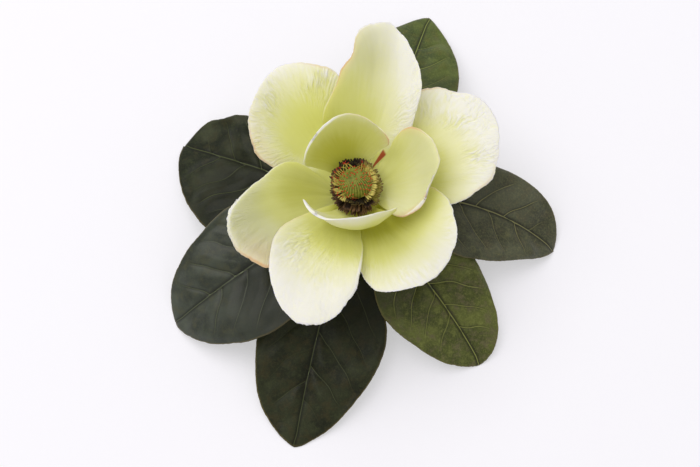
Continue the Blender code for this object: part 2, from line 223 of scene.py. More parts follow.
petalSheet = dict(
    outerCells=130, innerCells=104, thickness=0.7, firstSeed=100, seedStep=20,
    baseRadius=6.8,  # the petals leave the receptacle here
    pointedness=1.0,  # 1 gives a round tip
    keelRounding=4.0, lipPower=8, wavePower=3,
    shapedFrom=0.12, shapedFully=0.45,  # shares of the length between which the rim's lip and waves set in
    rimWander=0.009,  # how far the cut rim wanders in, as a share of the half width
    swellSpacing=17.0, swellDepth=0.55,
    pleatSpacing=5.5, pleatDepth=0.38, pleatLength=45.0,
    pleatFocus=0.35,  # pleats fan out from this many half lengths below the base
    pleatSpread=1.2,
    wrinkleSpacing=1.35, wrinkleDepth=0.55,
    wrinkleStretch=4.2,  # wrinkles are this many times as long as they are wide
    fanRadius=38.0,  # distance from the focus at which wrinkles have their own spacing
    bendSpacing=7.0, bend=0.8,  # over this many mm wrinkles wander aside by this many widths
    breakSpacing=5.0, breaking=0.5,  # and along themselves
    clusterSpacing=9.0,  # mm between patches where the wrinkles are deeper
    netSpacing=(2.6, 3.8), netDepth=1.6,
    # a roll starts here, middle 0 to rim 1; each mm of it starts it rollWiden sooner and falls by rollDepth
    rollStart=0.95, rollWiden=0.035, rollDepth=0.7,
)

petalTints = dict(
    footGreen=0.95, footFrom=-0.25, footFull=-0.65,  # lengthwise places between which the foot turns green
    # wrinkled stretches turn greener by a share, painted shade that the material pales again on the crests
    paler=0.23, wrinkleTroughShade=0.21, wrinkledFull=0.5,  # mm of depth from which a wrinkle is all shaded
    outerFacePaler=0.3,
    cutEdge=(0.975, 0.995), cutEdgeHighlight=0.6,  # from where to where, middle 0 to rim 1, the thin rim is painted white as a highlight
    # painted highlight: the white that a rolled lip shows
    rolledHighlight=0.85,
    blushEdge=(0.955, 0.985), blushLine=0.75, blushInside=0.30,
)

# Places round the rim are degrees: 0 is the tip, + the left side seen from the axis. Places on the blade are
# (across, lengthwise), each -1 to 1 with + to the left and to the tip.
# rise: slope in degrees at base, middle and tip
# left and right: half widths in mm at 0, 1/3, 2/3 and 1 of the length, before the ends are rounded off
# cup: degrees by which the left and the right half curl up; keel: slope of the fold along the middle
# lip: mm by which the rim falls; waves: height, number and phase of the rim's waves
# dents: place, width and depth as a share of the way in, negative for a bulge
# wrinkles: place, spread, where they start from the middle (0) to the rim (1), and depth in mm
# nets: across, lengthwise, radius and depth of a patch of crossed wrinkles
# creases: from (across, lengthwise) to (across, lengthwise), half width and depth in mm
# green: strength, place (2) and reach (2) of the green heart, and how green the petal is all over
# fan: across and lengthwise of the point that the wrinkles fan out from
# dull, painted shade: how strongly the left and the right half are greyed
# blush: place, spread, strength, and how far in from the rim the tan edge reaches
# rolls: place, spread, and how far in mm the rim rolls back and carries a painted white highlight
# scars: from and to as for creases, and half width in mm, of a dry rust-brown patch
petals = {
    "petal_outer_1": dict(
        azimuth=80, bend=16, length=97, rise=(10, 26, 22), baseZ=50, keel=0.10, lip=1.5,
        left=(12, 32, 24, 40), right=(11, 24, 28, 20), cup=(20, 26), waves=(1.2, 4, 40),
        dents=((70, 8, -0.08), (50, 12, 0.05), (-50, 28, 0.04), (-92, 16, 0.09)),
        wrinkles=((-98, 32, 0.30, 0.49), (-60, 30, 0.62, 0.19)),
        green=(1.86, 0.84, -1.30, 2.00, 2.57, -0.10), fan=(0.25, -0.55), paintedShade=(0.46, 0.02),
        creases=((0.16, 0.95, 0.18, 0.10, 3.6, 0.5), (-0.22, 0.14, -0.15, -0.20, 1.4, 0.3)),
        blush=((62, 26, 0.9, 0.10),), scars=((-0.51, -0.55, -0.34, -0.78, 3.5),),
    ),
    "petal_outer_2": dict(
        azimuth=128, bend=4, length=84, rise=(6, 18, 10), baseZ=46, keel=0.0, lip=1.5,
        left=(12, 29, 34, 28), right=(12, 30, 37, 38), cup=(12, 8), waves=(1.0, 5, 0),
        dents=((18, 24, 0.07), (-62, 8, -0.03), (85, 10, -0.04)),
        wrinkles=((60, 60, 0.42, 0.57), (-70, 45, 0.30, 0.49), (0, 40, 0.62, 0.30)),
        green=(1.24, -0.06, 0.00, 1.44, 1.07, -0.12), fan=(-0.05, -0.20), paintedShade=(0.24, 0.06),
        blush=((82, 34, 0.75, 0.20), (-50, 16, 0.5, 0.06)),
    ),
    "petal_outer_3": dict(
        azimuth=203, bend=6, length=77, rise=(8, 22, 12), baseZ=48, keel=0.06, lip=1.5,
        left=(12, 27, 34, 38), right=(14, 31, 24, 27), cup=(2, 18), waves=(1.2, 4, 200),
        dents=((46, 16, -0.06), (18, 12, -0.045), (-24, 26, 0.03), (-82, 10, 0.05)),
        wrinkles=((40, 40, 0.45, 0.44), (-30, 70, 0.5, 0.20)),
        green=(1.30, -0.32, -0.42, 1.05, 1.23, 0.24), fan=(-0.20, -0.40), paintedShade=(0.66, 0.60),
        creases=((0.30, 0.86, 0.16, 0.50, 2.0, 0.6), (0.52, 0.78, 0.34, 0.42, 1.8, 0.5)),
        blush=((40, 26, 1.0, 0.30),), rolls=((-30, 42, 0.7),),
    ),
    "petal_outer_4": dict(
        azimuth=255, bend=34, length=91, rise=(10, 20, 6), baseZ=50, keel=0.05, lip=2.0,
        left=(14, 24, 26, 30), right=(8, 25, 28, 22), cup=(20, 24), waves=(1.0, 4, 90),
        dents=((5, 26, 0.02), (68, 11, -0.06), (-98, 16, -0.07)),
        wrinkles=((-95, 26, 0.45, 0.24), (20, 80, 0.50, 0.16)),
        nets=((-0.48, -0.08, 0.26, 0.60), (0.10, 0.10, 0.40, 0.30)),
        green=(1.72, 0.30, -1.22, 2.43, 1.72, 0.0), fan=(0.30, -0.70), paintedShade=(0.05, 0.00),
        blush=((-110, 20, 0.3, 0.06),), rolls=((84, 24, 1.0),),
    ),
    "petal_outer_5": dict(
        azimuth=317, bend=6, length=69, rise=(8, 20, 10), baseZ=48, keel=0.06, lip=1.0,
        left=(12, 32, 32, 32), right=(12, 30, 39, 42), cup=(22, 6), waves=(1.4, 4, 300),
        dents=((12, 16, 0.05), (-62, 12, -0.05), (72, 12, -0.03)),
        wrinkles=((-60, 60, 0.50, 0.22), (50, 50, 0.6, 0.16)),
        green=(1.84, 0.16, -0.80, 2.10, 1.62, 0.03), fan=(-0.30, -0.60), paintedShade=(0.05, 0.00),
        blush=((100, 16, 0.4, 0.05),),
    ),
    "petal_outer_6": dict(
        azimuth=24, bend=-6, length=89, rise=(6, 18, 10), baseZ=46, keel=0.0, lip=2.0,
        left=(12, 36, 41, 50), right=(12, 30, 36, 36), cup=(12, 8), waves=(1.0, 5, 120),
        dents=((46, 18, 0.07), (-22, 20, 0.03), (-54, 9, -0.03)),
        wrinkles=((40, 50, 0.30, 0.38), (-20, 34, 0.36, 0.42)),
        green=(1.64, -0.08, -0.82, 1.71, 1.68, -0.10), fan=(-0.30, -0.45), paintedShade=(0.00, 0.00),
        blush=((72, 22, 0.7, 0.06), (-60, 20, 0.4, 0.05)),
    ),
    "petal_inner_1": dict(
        azimuth=103, bend=0, length=50, rise=(14, 62, 76), baseZ=54, keel=0.0, lip=1.0,
        left=(12, 25, 34, 22), right=(11, 21, 31, 27), cup=(60, 62), waves=(0.6, 3, 60),
        dents=((-42, 22, 0.10), (45, 26, 0.10), (-106, 10, 0.06)),
        wrinkles=((0, 90, 0.6, 0.06),),
        green=(1.64, 0.24, -0.31, 2.06, 2.10, -0.10), fan=(0.20, -0.40), paintedShade=(0.05, 0.05),
        blush=((-72, 16, 1.0, 0.16), (-25, 30, 0.4, 0.05)), rolls=((38, 34, 1.5),),
    ),
    "petal_inner_2": dict(
        azimuth=12, bend=0, length=52, rise=(14, 34, 48), baseZ=52, keel=0.0, lip=1.5,
        left=(11, 19, 28, 35), right=(11, 27, 28, 14), cup=(30, 34), waves=(0.8, 4, 150),
        dents=((-42, 24, 0.22), (-80, 16, 0.07), (114, 11, 0.06)),
        wrinkles=((-60, 60, 0.6, 0.08),),
        green=(0.64, 0.49, -1.30, 1.27, 2.10, 0.60), fan=(0.00, -0.90), paintedShade=(0.30, 0.30),
        blush=((58, 22, 1.0, 0.10), (-80, 26, 2.6, 0.12), (10, 40, 0.2, 0.05)), rolls=((-70, 20, 3.0),),
    ),
    "petal_inner_3": dict(
        azimuth=275, bend=0, length=50, rise=(0, 60, 124), baseZ=54, keel=0.0, lip=1.5,
        left=(12, 22, 27, 34), right=(12, 33, 41, 35), cup=(72, 72), waves=(0.5, 3, 0),
        dents=((40, 28, -0.10),),
        wrinkles=((0, 90, 0.6, 0.06),),
        green=(1.97, 0.44, -0.10, 1.44, 1.30, 0.05), fan=(0.00, -0.55), paintedShade=(0.14, 0.14),
        blush=((88, 20, 0.4, 0.06),), rolls=((-42, 36, 2.8),),
    ),
}


def bladeSurface(blade, sheet, across, lengthwise):
    # Middle layer of a petal or leaf over a unit disc. The middle line leaves the base circle with changing
    # slope and heading. From it each point goes sideways on an arc that curls by the cup angle. It is then
    # raised by the fold along the middle line and the rim's waves, and lowered by the rim's lip.
    along = np.clip((lengthwise + 1) / 2, 0, 1)
    steps = np.linspace(0, 1, 401)
    slope = np.radians(curveThrough(blade["rise"], steps))
    heading = np.radians(blade["azimuth"] + blade["bend"] * (steps - 0.5))
    ahead = axesAlong(slope, heading)[0]
    run = np.cumsum((ahead[1:] + ahead[:-1]) / 2, axis=0) * blade["length"] / (len(steps) - 1)
    out = sheet["baseRadius"]
    start = (out * math.cos(heading[0]), out * math.sin(heading[0]), blade["baseZ"])
    line = start + np.concatenate([np.zeros((1, 3)), run])
    middle = np.stack([np.interp(along, steps, values) for values in line.T], axis=-1)
    _, sideways, inward = axesAlong(np.interp(along, steps, slope), np.interp(along, steps, heading))
    onLeft = across > 0
    half = np.where(onLeft, curveThrough(blade["left"], along), curveThrough(blade["right"], along))
    chord = np.sqrt(np.clip(1 - lengthwise ** 2, 1e-12, 1))
    reach = across * half * chord ** (sheet["pointedness"] - 1)
    widest = np.where(onLeft, max(blade["left"]), max(blade["right"]))
    curl = np.radians(np.where(onLeft, blade["cup"][0], blade["cup"][1])) / widest
    out = np.sin(curl * reach) / curl
    up = (1 - np.cos(curl * reach)) / curl
    rounding = sheet["keelRounding"]
    up = up + blade["keel"] * (np.sqrt(out ** 2 + rounding ** 2) - rounding)
    toRim = np.sqrt(across ** 2 + lengthwise ** 2)
    roundRim = np.arctan2(across, lengthwise)
    height, count, phase = blade["waves"]
    wave = height * toRim ** sheet["wavePower"] * np.sin(count * roundRim + math.radians(phase))
    shaped = np.clip((along - sheet["shapedFrom"]) / (sheet["shapedFully"] - sheet["shapedFrom"]), 0, 1)
    up = up + shaped * (wave - blade["lip"] * toRim ** sheet["lipPower"])
    return middle + out[..., None] * sideways + up[..., None] * inward + flowerAxis


def dentedDisc(across, lengthwise, dents, wander, seed):
    # Draws the outer disc in by each dent's bell round the rim and by three noises that make it uneven
    toRim = np.sqrt(across ** 2 + lengthwise ** 2)
    roundRim = np.arctan2(across, lengthwise)
    pull = 0 * toRim
    for often, offset, row, share, draw in ((5, 20, seed, 1.0, 0), (13, 9, 0, 0.7, 5), (34, 3, 0, 0.45, 7)):
        pull = pull + share * softNoise(roundRim * often + offset, 0 * toRim + row, seed + draw)
    pull = wander * pull
    for place, width, depth in dents:
        pull = pull + depth * hump(np.degrees(roundRim), place, width)
    scale = 1 - pull * toRim ** 6
    return across * scale, lengthwise * scale


def toSegment(x, y, start, end):  # distance to a straight line between two points, and the share of the way
    stepX, stepY = end[0] - start[0], end[1] - start[1]
    share = ((x - start[0]) * stepX + (y - start[1]) * stepY) / (stepX ** 2 + stepY ** 2)
    share = np.clip(share, 0, 1)
    return np.hypot(x - start[0] - share * stepX, y - start[1] - share * stepY), share


def petalRelief(petal, across, lengthwise, toRim, roundRim, seed):
    # Height in mm off the smooth blade: broad swells, pleats that fan out from under the base, wrinkles
    # that fan out from one point, crossed wrinkles in nets, and long creases. Returns it with both fans'
    # places, the wrinkles' depth and their folds.
    sheet = petalSheet
    size = petal["length"] / 2
    half = (max(petal["left"]) + max(petal["right"])) / 2
    x, y = across * half, (lengthwise + 1) * size
    pleatFan = np.arctan2(x, y + sheet["pleatFocus"] * size) * sheet["pleatSpread"] * size
    swell = softNoise(x / sheet["swellSpacing"] + 5, y / sheet["swellSpacing"] + 9, seed + 1)
    pleats = softNoise(pleatFan / sheet["pleatSpacing"] + 11, y / sheet["pleatLength"] + 3, seed)
    relief = (sheet["swellDepth"] * swell + sheet["pleatDepth"] * pleats) * eased(0.1, 0.5, toRim)

    dx, dy = x - petal["fan"][0] * half, y - (petal["fan"][1] + 1) * size
    fan = np.arctan2(dx, dy) * sheet["fanRadius"] / sheet["wrinkleSpacing"]
    drawn = np.hypot(dx, dy) / (sheet["wrinkleSpacing"] * sheet["wrinkleStretch"])
    bendX, bendY = x / sheet["bendSpacing"], y / sheet["bendSpacing"]
    fan = fan + sheet["bend"] * softNoise(bendX + 3, bendY + 5, seed + 10)
    breakX, breakY = x / sheet["breakSpacing"], y / sheet["breakSpacing"]
    drawn = drawn + sheet["breaking"] * softNoise(breakX + 8, breakY + 1, seed + 13)
    # rounded folds, finer ones over them, and sharp ridges where a third noise passes through zero
    folds = 0.7 * softNoise(fan + 30, drawn, seed + 11)
    folds = folds + 0.5 * softNoise(fan * 1.9 + 7, drawn * 1.6, seed + 12)
    folds = folds + 0.5 * (0.35 - np.abs(softNoise(fan * 0.8 + 17, drawn * 0.8 + 4, seed + 14)))
    depth = 0 * toRim
    for place, spread, start, deep in petal["wrinkles"]:
        depth = np.maximum(depth, deep * hump(roundRim, place, spread) * eased(start, start + 0.3, toRim))
    patches = softNoise(x / sheet["clusterSpacing"] + 2, y / sheet["clusterSpacing"] + 6, seed + 15)
    depth = depth * (0.45 + 0.75 * eased(-0.35, 0.35, patches)) * (1 - 0.65 * eased(0.92, 1.0, toRim))
    depth = depth * (1 - eased(140, 165, np.abs(roundRim)))
    relief = relief + sheet["wrinkleDepth"] * depth * folds

    wide, tall = sheet["netSpacing"]
    for netAcross, netLength, radius, deep in petal.get("nets", ()):
        patch = np.exp(-((across - netAcross) ** 2 + (lengthwise - netLength) ** 2) / radius ** 2)
        mesh = 0.3 - np.abs(softNoise((x + 0.4 * y) / wide, (y - 0.3 * x) / tall, seed + 16))
        relief = relief + deep * patch * mesh * sheet["netDepth"]
        depth = np.maximum(depth, 0.6 * deep * patch)
    for ax, ay, bx, by, width, deep in petal.get("creases", ()):
        away, share = toSegment(x, y, (ax * half, (ay + 1) * size), (bx * half, (by + 1) * size))
        fading = np.sin(np.pi * np.clip(share, 0.04, 0.96)) ** 0.5
        relief = relief - deep * hump(away, 0, width) * fading
    return relief, np.stack([fan, drawn], axis=-1), np.stack([pleatFan, y], axis=-1), depth, folds


def petalMaterial():
    # Magnolia petal: fleshy tepal, grown, matte and waxy. Cream at the margin, yellow-green towards the base,
    # with pressed wrinkles that fan out to the rim and a little light passing through the thin edge. Painted
    # shade greys one side of some petals and greens the wrinkles' troughs; painted highlights pale the
    # wrinkles' crests and whiten the rim.
    material, tree, shader = newMaterial("magnoliaPetalMatteWax", {
        "Roughness": 0.62, "IOR": 1.42, "Subsurface Weight": 0.5, "Subsurface Scale": 0.002,
        "Subsurface Radius": (1.0, 1.0, 0.5), "Sheen Weight": 0.12, "Sheen Roughness": 0.5,
        "Specular IOR Level": 0.3,
    })
    place = addNode(tree, "TexCoord", {}, {}, "Object")
    shown = {layer: addNode(tree, "Attribute", {"attribute_name": layer}, {}, "Fac")
             for layer in ("green", "blush", "rim", "wrinkled", "fold", "scar", "paintedShade")}
    fan = addNode(tree, "UVMap", {"uv_map": "wrinkles"}, {})
    pleats = addNode(tree, "UVMap", {"uv_map": "pleats"}, {})

    # clouds of 16 mm and streaks of 1.6 mm that run out from the base shift the green; painted shade greens
    # the wrinkles' troughs and a painted highlight pales their crests
    clouds = addNode(tree, "TexNoise", {}, {"Vector": place, "Scale": 1 / (16 * mm), "Detail": 3.0})
    drawnOut = addNode(tree, "Mapping", {}, {"Vector": pleats, "Scale": (1 / 1.6, 1 / 22.0, 1.0)})
    streaks = addNode(tree, "TexNoise", {}, {"Vector": drawnOut, "Scale": 1.0, "Detail": 3.0})
    fine = addNode(tree, "TexNoise", {}, {"Vector": fan, "Scale": 1.0, "Detail": 2.0})
    fine = addNode(tree, "MapRange", asEased, {"Value": fine, "From Min": 0.34, "From Max": 0.66})
    fine = addNode(tree, "Math", {"operation": "MULTIPLY"}, {0: fine, 1: shown["wrinkled"]})
    green = shown["green"]
    for value, factor in ((clouds, 0.26), (streaks, 0.20), (fine, -0.42), (shown["fold"], -0.25)):
        green = addNode(tree, "Math", {"operation": "MULTIPLY_ADD"}, {0: value, 1: factor, 2: green})
    colour = layColours(tree, "#faf8ea", (
        (green, 0.0, 0.55, "#eeedc0", 1.0),
        (green, 0.45, 1.0, "#dfe088", 1.0),
        (green, 0.95, 1.6, "#c7c74a", 1.0),
    ))
    # painted shade greys one side of the petal and a painted highlight whitens the rim; the tan blush and rust
    # scars are the petal's own
    for layer, tint in (("paintedShade", "#a6a87c"), ("blush", "#dcb48c"), ("rim", "#fffdf6"), ("scar", "#b0552c")):
        colour = addNode(tree, "Mix", asColour, {0: shown[layer], 6: colour, 7: tint}, 2)

    # finer wrinkles between the modelled ones, then a grain of 0.8 mm, coarser than the skin so that it shows
    bump = addNode(tree, "Bump", {}, {"Strength": 1.0, "Distance": 0.42 * mm, "Height": fine}, "Normal")
    grain = addNode(tree, "TexNoise", {}, {"Vector": place, "Scale": 1 / (0.8 * mm), "Detail": 2.0})
    bump = addNode(tree, "Bump", {}, {
        "Strength": 0.22, "Distance": 0.12 * mm, "Height": grain, "Normal": bump}, "Normal")
    setInputs(tree, shader, {"Base Color": colour, "Normal": bump})
    return material


def petalColours(petal, across, lengthwise, toRim, roundRim, wrinkled, rolled, rollFrom):
    # How much of each colour shows. Green falls off in an ellipse round its heart and deepens at the foot.
    # Painted shade greys the petal from the right half to the left. Tan and a painted white highlight follow
    # the rim and its rolls, and scars a line.
    tints = petalTints
    strength, greenAcross, greenLength, reachAcross, reachLength, allOver = petal["green"]
    far = np.hypot((across - greenAcross) / reachAcross, (lengthwise - greenLength) / reachLength)
    green = strength * (1 - eased(0, 1.2, far)) + allOver
    foot = tints["footGreen"] * eased(tints["footFrom"], tints["footFull"], lengthwise)
    # painted shade: wrinkled stretches are greener, and the material pales their crests again
    green = onBothSkins(np.maximum(green, foot) - tints["paler"] + tints["wrinkleTroughShade"] * wrinkled)
    green[toRim.size:] -= tints["outerFacePaler"]
    # painted shade: greys one half of the petal, more towards the tip and less at the rim
    left, right = petal["paintedShade"]
    paintedShade = right + (left - right) * eased(-0.6, 0.4, across)
    paintedShade = paintedShade * (0.5 + 0.5 * eased(0.0, 0.6, lengthwise)) * (1 - 0.5 * eased(0.85, 1.0, toRim))
    blush = 0 * toRim
    for place, spread, strong, inTo in petal["blush"]:
        edge = tints["blushLine"] * eased(*tints["blushEdge"], toRim)
        edge = edge + tints["blushInside"] * eased(1 - inTo * 2, 1.0, toRim)
        blush = np.maximum(blush, strong * hump(roundRim, place, spread) * edge)
    # painted highlight: a thin white line along the cut rim, fading round the base, and a white band on rolled
    # lips
    rim = tints["cutEdgeHighlight"] * eased(*tints["cutEdge"], toRim) * (1 - np.clip(1.4 * blush, 0, 1))
    rim = rim * (1 - eased(88, 112, np.abs(roundRim)))
    rolledLipHighlight = tints["rolledHighlight"] * np.clip(rolled, 0, 1) * eased(rollFrom, rollFrom + 0.03, toRim)
    rim = np.maximum(rim, rolledLipHighlight * (1 - 0.6 * blush))
    half, size = (max(petal["left"]) + max(petal["right"])) / 2, petal["length"] / 2
    scar = 0 * toRim
    for ax, ay, bx, by, width in petal.get("scars", ()):
        ends = (ax * half, ay * size), (bx * half, by * size)
        away, share = toSegment(across * half, lengthwise * size, *ends)
        width = width * (1 - 0.7 * share)
        scar = np.maximum(scar, (1 - eased(0.6 * width, width, away)) * eased(0.0, 0.05, share))
    layers = {"paintedShade": paintedShade, "blush": blush, "rim": rim, "scar": scar}
    return {"green": green, **{layer: onBothSkins(values) for layer, values in layers.items()}}


def makePetal(name, petal, material, seed):
    # The smooth blade, lifted along its normals by the relief and lowered by the rolls, as a closed sheet
    sheet = petalSheet
    across, lengthwise = discGrid(sheet["innerCells" if "inner" in name else "outerCells"])
    toRim = np.clip(np.sqrt(across ** 2 + lengthwise ** 2), 0, 1)
    roundRim = np.degrees(np.arctan2(across, lengthwise))
    dented = dentedDisc(across, lengthwise, petal["dents"], sheet["rimWander"], seed)
    middle = bladeSurface(petal, sheet, *dented)
    relief, wrinkleMap, pleatMap, depth, folds = petalRelief(petal, across, lengthwise, toRim, roundRim, seed)
    rolled = 0 * toRim
    for place, spread, back in petal.get("rolls", ()):
        rolled = np.maximum(rolled, back * hump(roundRim, place, spread))
    rollFrom = sheet["rollStart"] - sheet["rollWiden"] * rolled
    relief = relief - sheet["rollDepth"] * rolled * eased(rollFrom - 0.02, 1.04, toRim)
    middle = middle + surfaceNormals(middle) * relief[..., None]
    points, faces = closedSheet(middle, surfaceNormals(middle), sheet["thickness"], toRim)
    wrinkled = np.clip(depth / petalTints["wrinkledFull"], 0, 1)
    colours = petalColours(petal, across, lengthwise, toRim, roundRim, wrinkled, rolled, rollFrom)
    # the wrinkles' folds go to the material, which paints shade into their troughs and a highlight onto their
    # crests
    addPiece(name.replace("_", "") + "Blade", points, faces, material, name, {
        **colours, "wrinkled": onBothSkins(wrinkled), "fold": onBothSkins(folds * wrinkled),
    }, {"wrinkles": onBothSkins(wrinkleMap), "pleats": onBothSkins(pleatMap)})


petalFlesh = petalMaterial()
for number, (petalName, petal) in enumerate(petals.items()):
    makePetal(petalName, petal, petalFlesh, petalSheet["firstSeed"] + petalSheet["seedStep"] * number)
print("petals made:", len(petals))


# Leaves

leafSheet = dict(
    cells=110, thickness=0.6, firstSeed=300, seedStep=10,
    baseRadius=22.0, pointedness=1.55, keelRounding=4.0, lipPower=8, wavePower=3,
    shapedFrom=0.12, shapedFully=0.45, rimWander=0.006,
    ribBase=1.5, ribTip=0.65, ribSunk=0.1, ribSides=10,
    stalkRadius=1.9,
    stalkRoot=4.9,  # the stalk meets the twig's neck this far from its middle
    midribFurrow=1.7, midribFurrowWidth=2.2,  # mm deep over the rib at the base; a fifth of it at the tip
    midribBase=0.62, midribTip=0.36,  # half width in mm of the pale line along the middle
    veinWander=2.4, wanderSpacing=13, veinOffset=0.22,  # veins on the left stand a share of a spacing higher
    quilting=1.2, quiltingReach=4.5,  # the blade stands this high between veins, this far from them
    furrow=0.85, furrowWidth=1.2, warp=2.2, warpSpacing=(15, 20), ripple=0.22, rippleSpacing=(5, 6),
    veinHalfWidth=0.32,
)

# rise to dents: as for the petals
# veins: mm between side veins, their slope away from the midrib and how they turn to the tip (per mm)
# tint: two blade colours that cloud into each other, vein colour, blotch colour, how strong the blotches are,
# and how glossy the blade is
# foot: painted shade of the bloom on the blade's foot: where along it starts to fade and ends, and its
# strength on the left and the right of the midrib
leaves = {
    "leaf_1": dict(
        azimuth=211.3, bend=-2.8, length=116, rise=(-2, -18, -43), baseZ=38.8, keel=0.16, lip=1.0,
        left=(26, 43, 41.5, 48), right=(27, 40, 36, 56), cup=(-6, -6), waves=(1.2, 4, 30),
        dents=((-80, 20, 0.05), (-50, 20, 0.035)), veins=(20.0, 0.55, 0.012), foot=(0.50, 0.90, 0.62, 0.12),
        tint=("#444a40", "#2c312a", "#525940", "#4a4a33", 0.60, 0.36),
    ),
    "leaf_2": dict(
        azimuth=256.5, bend=8, length=129, rise=(-9, -12, -15), baseZ=27.5, keel=0.12, lip=1.0,
        left=(24, 42, 39, 42), right=(28, 36, 35, 44), cup=(-6, -8), waves=(1.2, 5, 100),
        dents=((-55, 16, -0.03),), veins=(21.0, 0.70, 0.012), foot=(0.30, 0.64, 0.65, 0.45),
        tint=("#2e3220", "#1b1e13", "#4a5032", "#3b351f", 0.65, 0.15),
    ),
    "leaf_3": dict(
        azimuth=346.5, bend=-38, length=114, rise=(-4, -18, -36), baseZ=37.8, keel=0.16, lip=1.0,
        left=(24, 28, 29, 42), right=(24, 36, 33, 36), cup=(-6, -6), waves=(1.0, 4, 200),
        dents=((-50, 25, 0.06), (-84, 14, 0.04)), veins=(19.0, 0.60, 0.014), foot=(0.30, 0.72, 0.62, 0.38),
        tint=("#515442", "#383b2a", "#8a885a", "#56503b", 0.6, 0.32),
    ),
    "leaf_4": dict(
        azimuth=308, bend=-12, length=105, rise=(-8, -17, -29), baseZ=33.5, keel=0.14, lip=1.0,
        left=(24, 33, 31, 46), right=(25, 36, 32, 38), cup=(-8, -6), waves=(1.2, 4, 320),
        dents=((-56, 20, -0.02),), veins=(16.0, 0.62, 0.014), foot=(0.30, 0.66, 0.22, 0.55),
        tint=("#5d642e", "#40471c", "#959a52", "#635c42", 0.9, 0.26),
    ),
    "leaf_5": dict(
        azimuth=155.6, bend=-1.4, length=101.5, rise=(-8, -17, -26), baseZ=31, keel=0.14, lip=1.0,
        left=(26, 51, 47, 58), right=(26, 32.5, 34, 70), cup=(-8, -2), waves=(1.5, 5, 20),
        dents=((-46, 15, 0.12), (-66, 12, 0.04)), veins=(19.0, 0.60, 0.012), foot=(0.55, 1.05, 0.62, 0.40),
        tint=("#3c402d", "#151b0e", "#505733", "#3b371f", 0.6, 0.17),
    ),
    "leaf_6": dict(
        azimuth=71, bend=4, length=130, rise=(-8, -17, -23.5), baseZ=37.5, keel=0.16, lip=1.0,
        left=(20, 28, 32, 32), right=(20, 33, 33, 29), cup=(-6, -6), waves=(1.2, 4, 80),
        dents=((-60, 22, -0.03),), veins=(19.0, 0.62, 0.012), foot=(0.40, 1.00, 0.35, 0.40),
        tint=("#56632a", "#3c4923", "#8a954a", "#5c5a24", 0.6, 0.32),
    ),
}


def leafMaterial(name, leaf):
    # Magnolia leaf: leathery blade, grown, with a thin cuticle that gives a patchy satin shine. Veins are
    # paler lines in shallow furrows, the blade between them is faintly netted, and brown blotches show here
    # and there. Painted shade darkens the furrows beside the veins and the midrib, and the blade's foot where
    # the bloom shades it, and a painted highlight runs along the rim.
    clear, dark, vein, blotch, blotched, gloss = leaf["tint"]
    material, tree, shader = newMaterial("magnoliaLeafLeathery" + name, {
        "IOR": 1.45, "Coat Weight": 0.06, "Coat Roughness": 0.38, "Specular IOR Level": gloss})
    place = addNode(tree, "TexCoord", {}, {}, "Object")
    shown = {layer: addNode(tree, "Attribute", {"attribute_name": layer}, {}, "Fac")
             for layer in ("veinPlace", "veinStrength", "midrib", "under", "rim", "foot")}

    # clouds 20 mm wide, blotches of 6 mm, a net of 2.4 mm and a grain of 1 mm, the last two coarser than the
    # leaf's own net and pores so that they show
    clouds = addNode(tree, "TexNoise", {}, {"Vector": place, "Scale": 1 / (20 * mm), "Detail": 3.0})
    blotches = addNode(tree, "TexNoise", {}, {
        "Vector": place, "Scale": 1 / (6 * mm), "Detail": 6.0, "Roughness": 0.62})
    grain = addNode(tree, "TexNoise", {}, {"Vector": place, "Scale": 1 / mm, "Detail": 3.0})
    net = addNode(tree, "TexVoronoi", {"feature": "DISTANCE_TO_EDGE"}, {
        "Vector": place, "Scale": 1 / (2.4 * mm)}, "Distance")

    # side veins stand where the vein place is a whole number, and the midrib where its own measure is under 1
    toVein = addNode(tree, "Math", {"operation": "PINGPONG"}, {0: shown["veinPlace"], 1: 0.5})
    halfWidth = leafSheet["veinHalfWidth"] / leaf["veins"][0]
    # the narrow band is the vein itself, the wide one painted shade beside it
    sideVein, paintedFurrowShade = [
        addNode(tree, "Math", {"operation": "MULTIPLY"}, {
            0: addNode(tree, "MapRange", asEased, {
                "Value": toVein, "From Min": start * halfWidth, "From Max": full * halfWidth}),
            1: shown["veinStrength"]})
        for start, full in ((1.7, 0.5), (9, 1.5))]
    toMidrib = addNode(tree, "Math", {"operation": "ABSOLUTE"}, {0: shown["midrib"]})
    shine = addNode(tree, "MapRange", {}, {
        "Value": clouds, "From Min": 0.35, "From Max": 0.65, "To Min": 0.36, "To Max": 0.52})

    colour = layColours(tree, dark, (
        (clouds, 0.36, 0.62, clear, 1.0),
        (blotches, 0.46, 0.68, blotch, 0.9 * blotched),
        (blotches, 0.50, 0.20, vein, 0.50 * blotched),
        (grain, 0.48, 0.78, vein, 0.25),
        (net, 0.09, 0.0, vein, 0.12),
        # painted shade: the bloom's shadow on the blade's foot
        (shown["foot"], 0.0, 1.0, "#14170c", 1.0),
        # painted shade: dark bands beside the side veins and along the midrib stand for the shade in their
        # furrows
        (paintedFurrowShade, 0.0, 1.0, "#14170c", 0.50),
        (toMidrib, 6.0, 1.0, "#12140c", 0.75),
        (sideVein, 0.0, 1.0, vein, 0.90),
        (toMidrib, 1.0, 0.5, vein, 0.75),
        # painted highlight along the leaf's rim
        (shown["rim"], 0.0, 1.0, "#776a3e", 0.45),
        (shown["under"], 0.0, 1.0, "#6f7757", 1.0),
    ))
    bump = addNode(tree, "Bump", {}, {"Strength": 0.30, "Distance": 0.12 * mm, "Height": net}, "Normal")
    bump = addNode(tree, "Bump", {}, {
        "Strength": 0.35, "Distance": 0.15 * mm, "Height": grain, "Normal": bump}, "Normal")
    setInputs(tree, shader, {"Base Color": colour, "Roughness": shine, "Normal": bump})
    return material


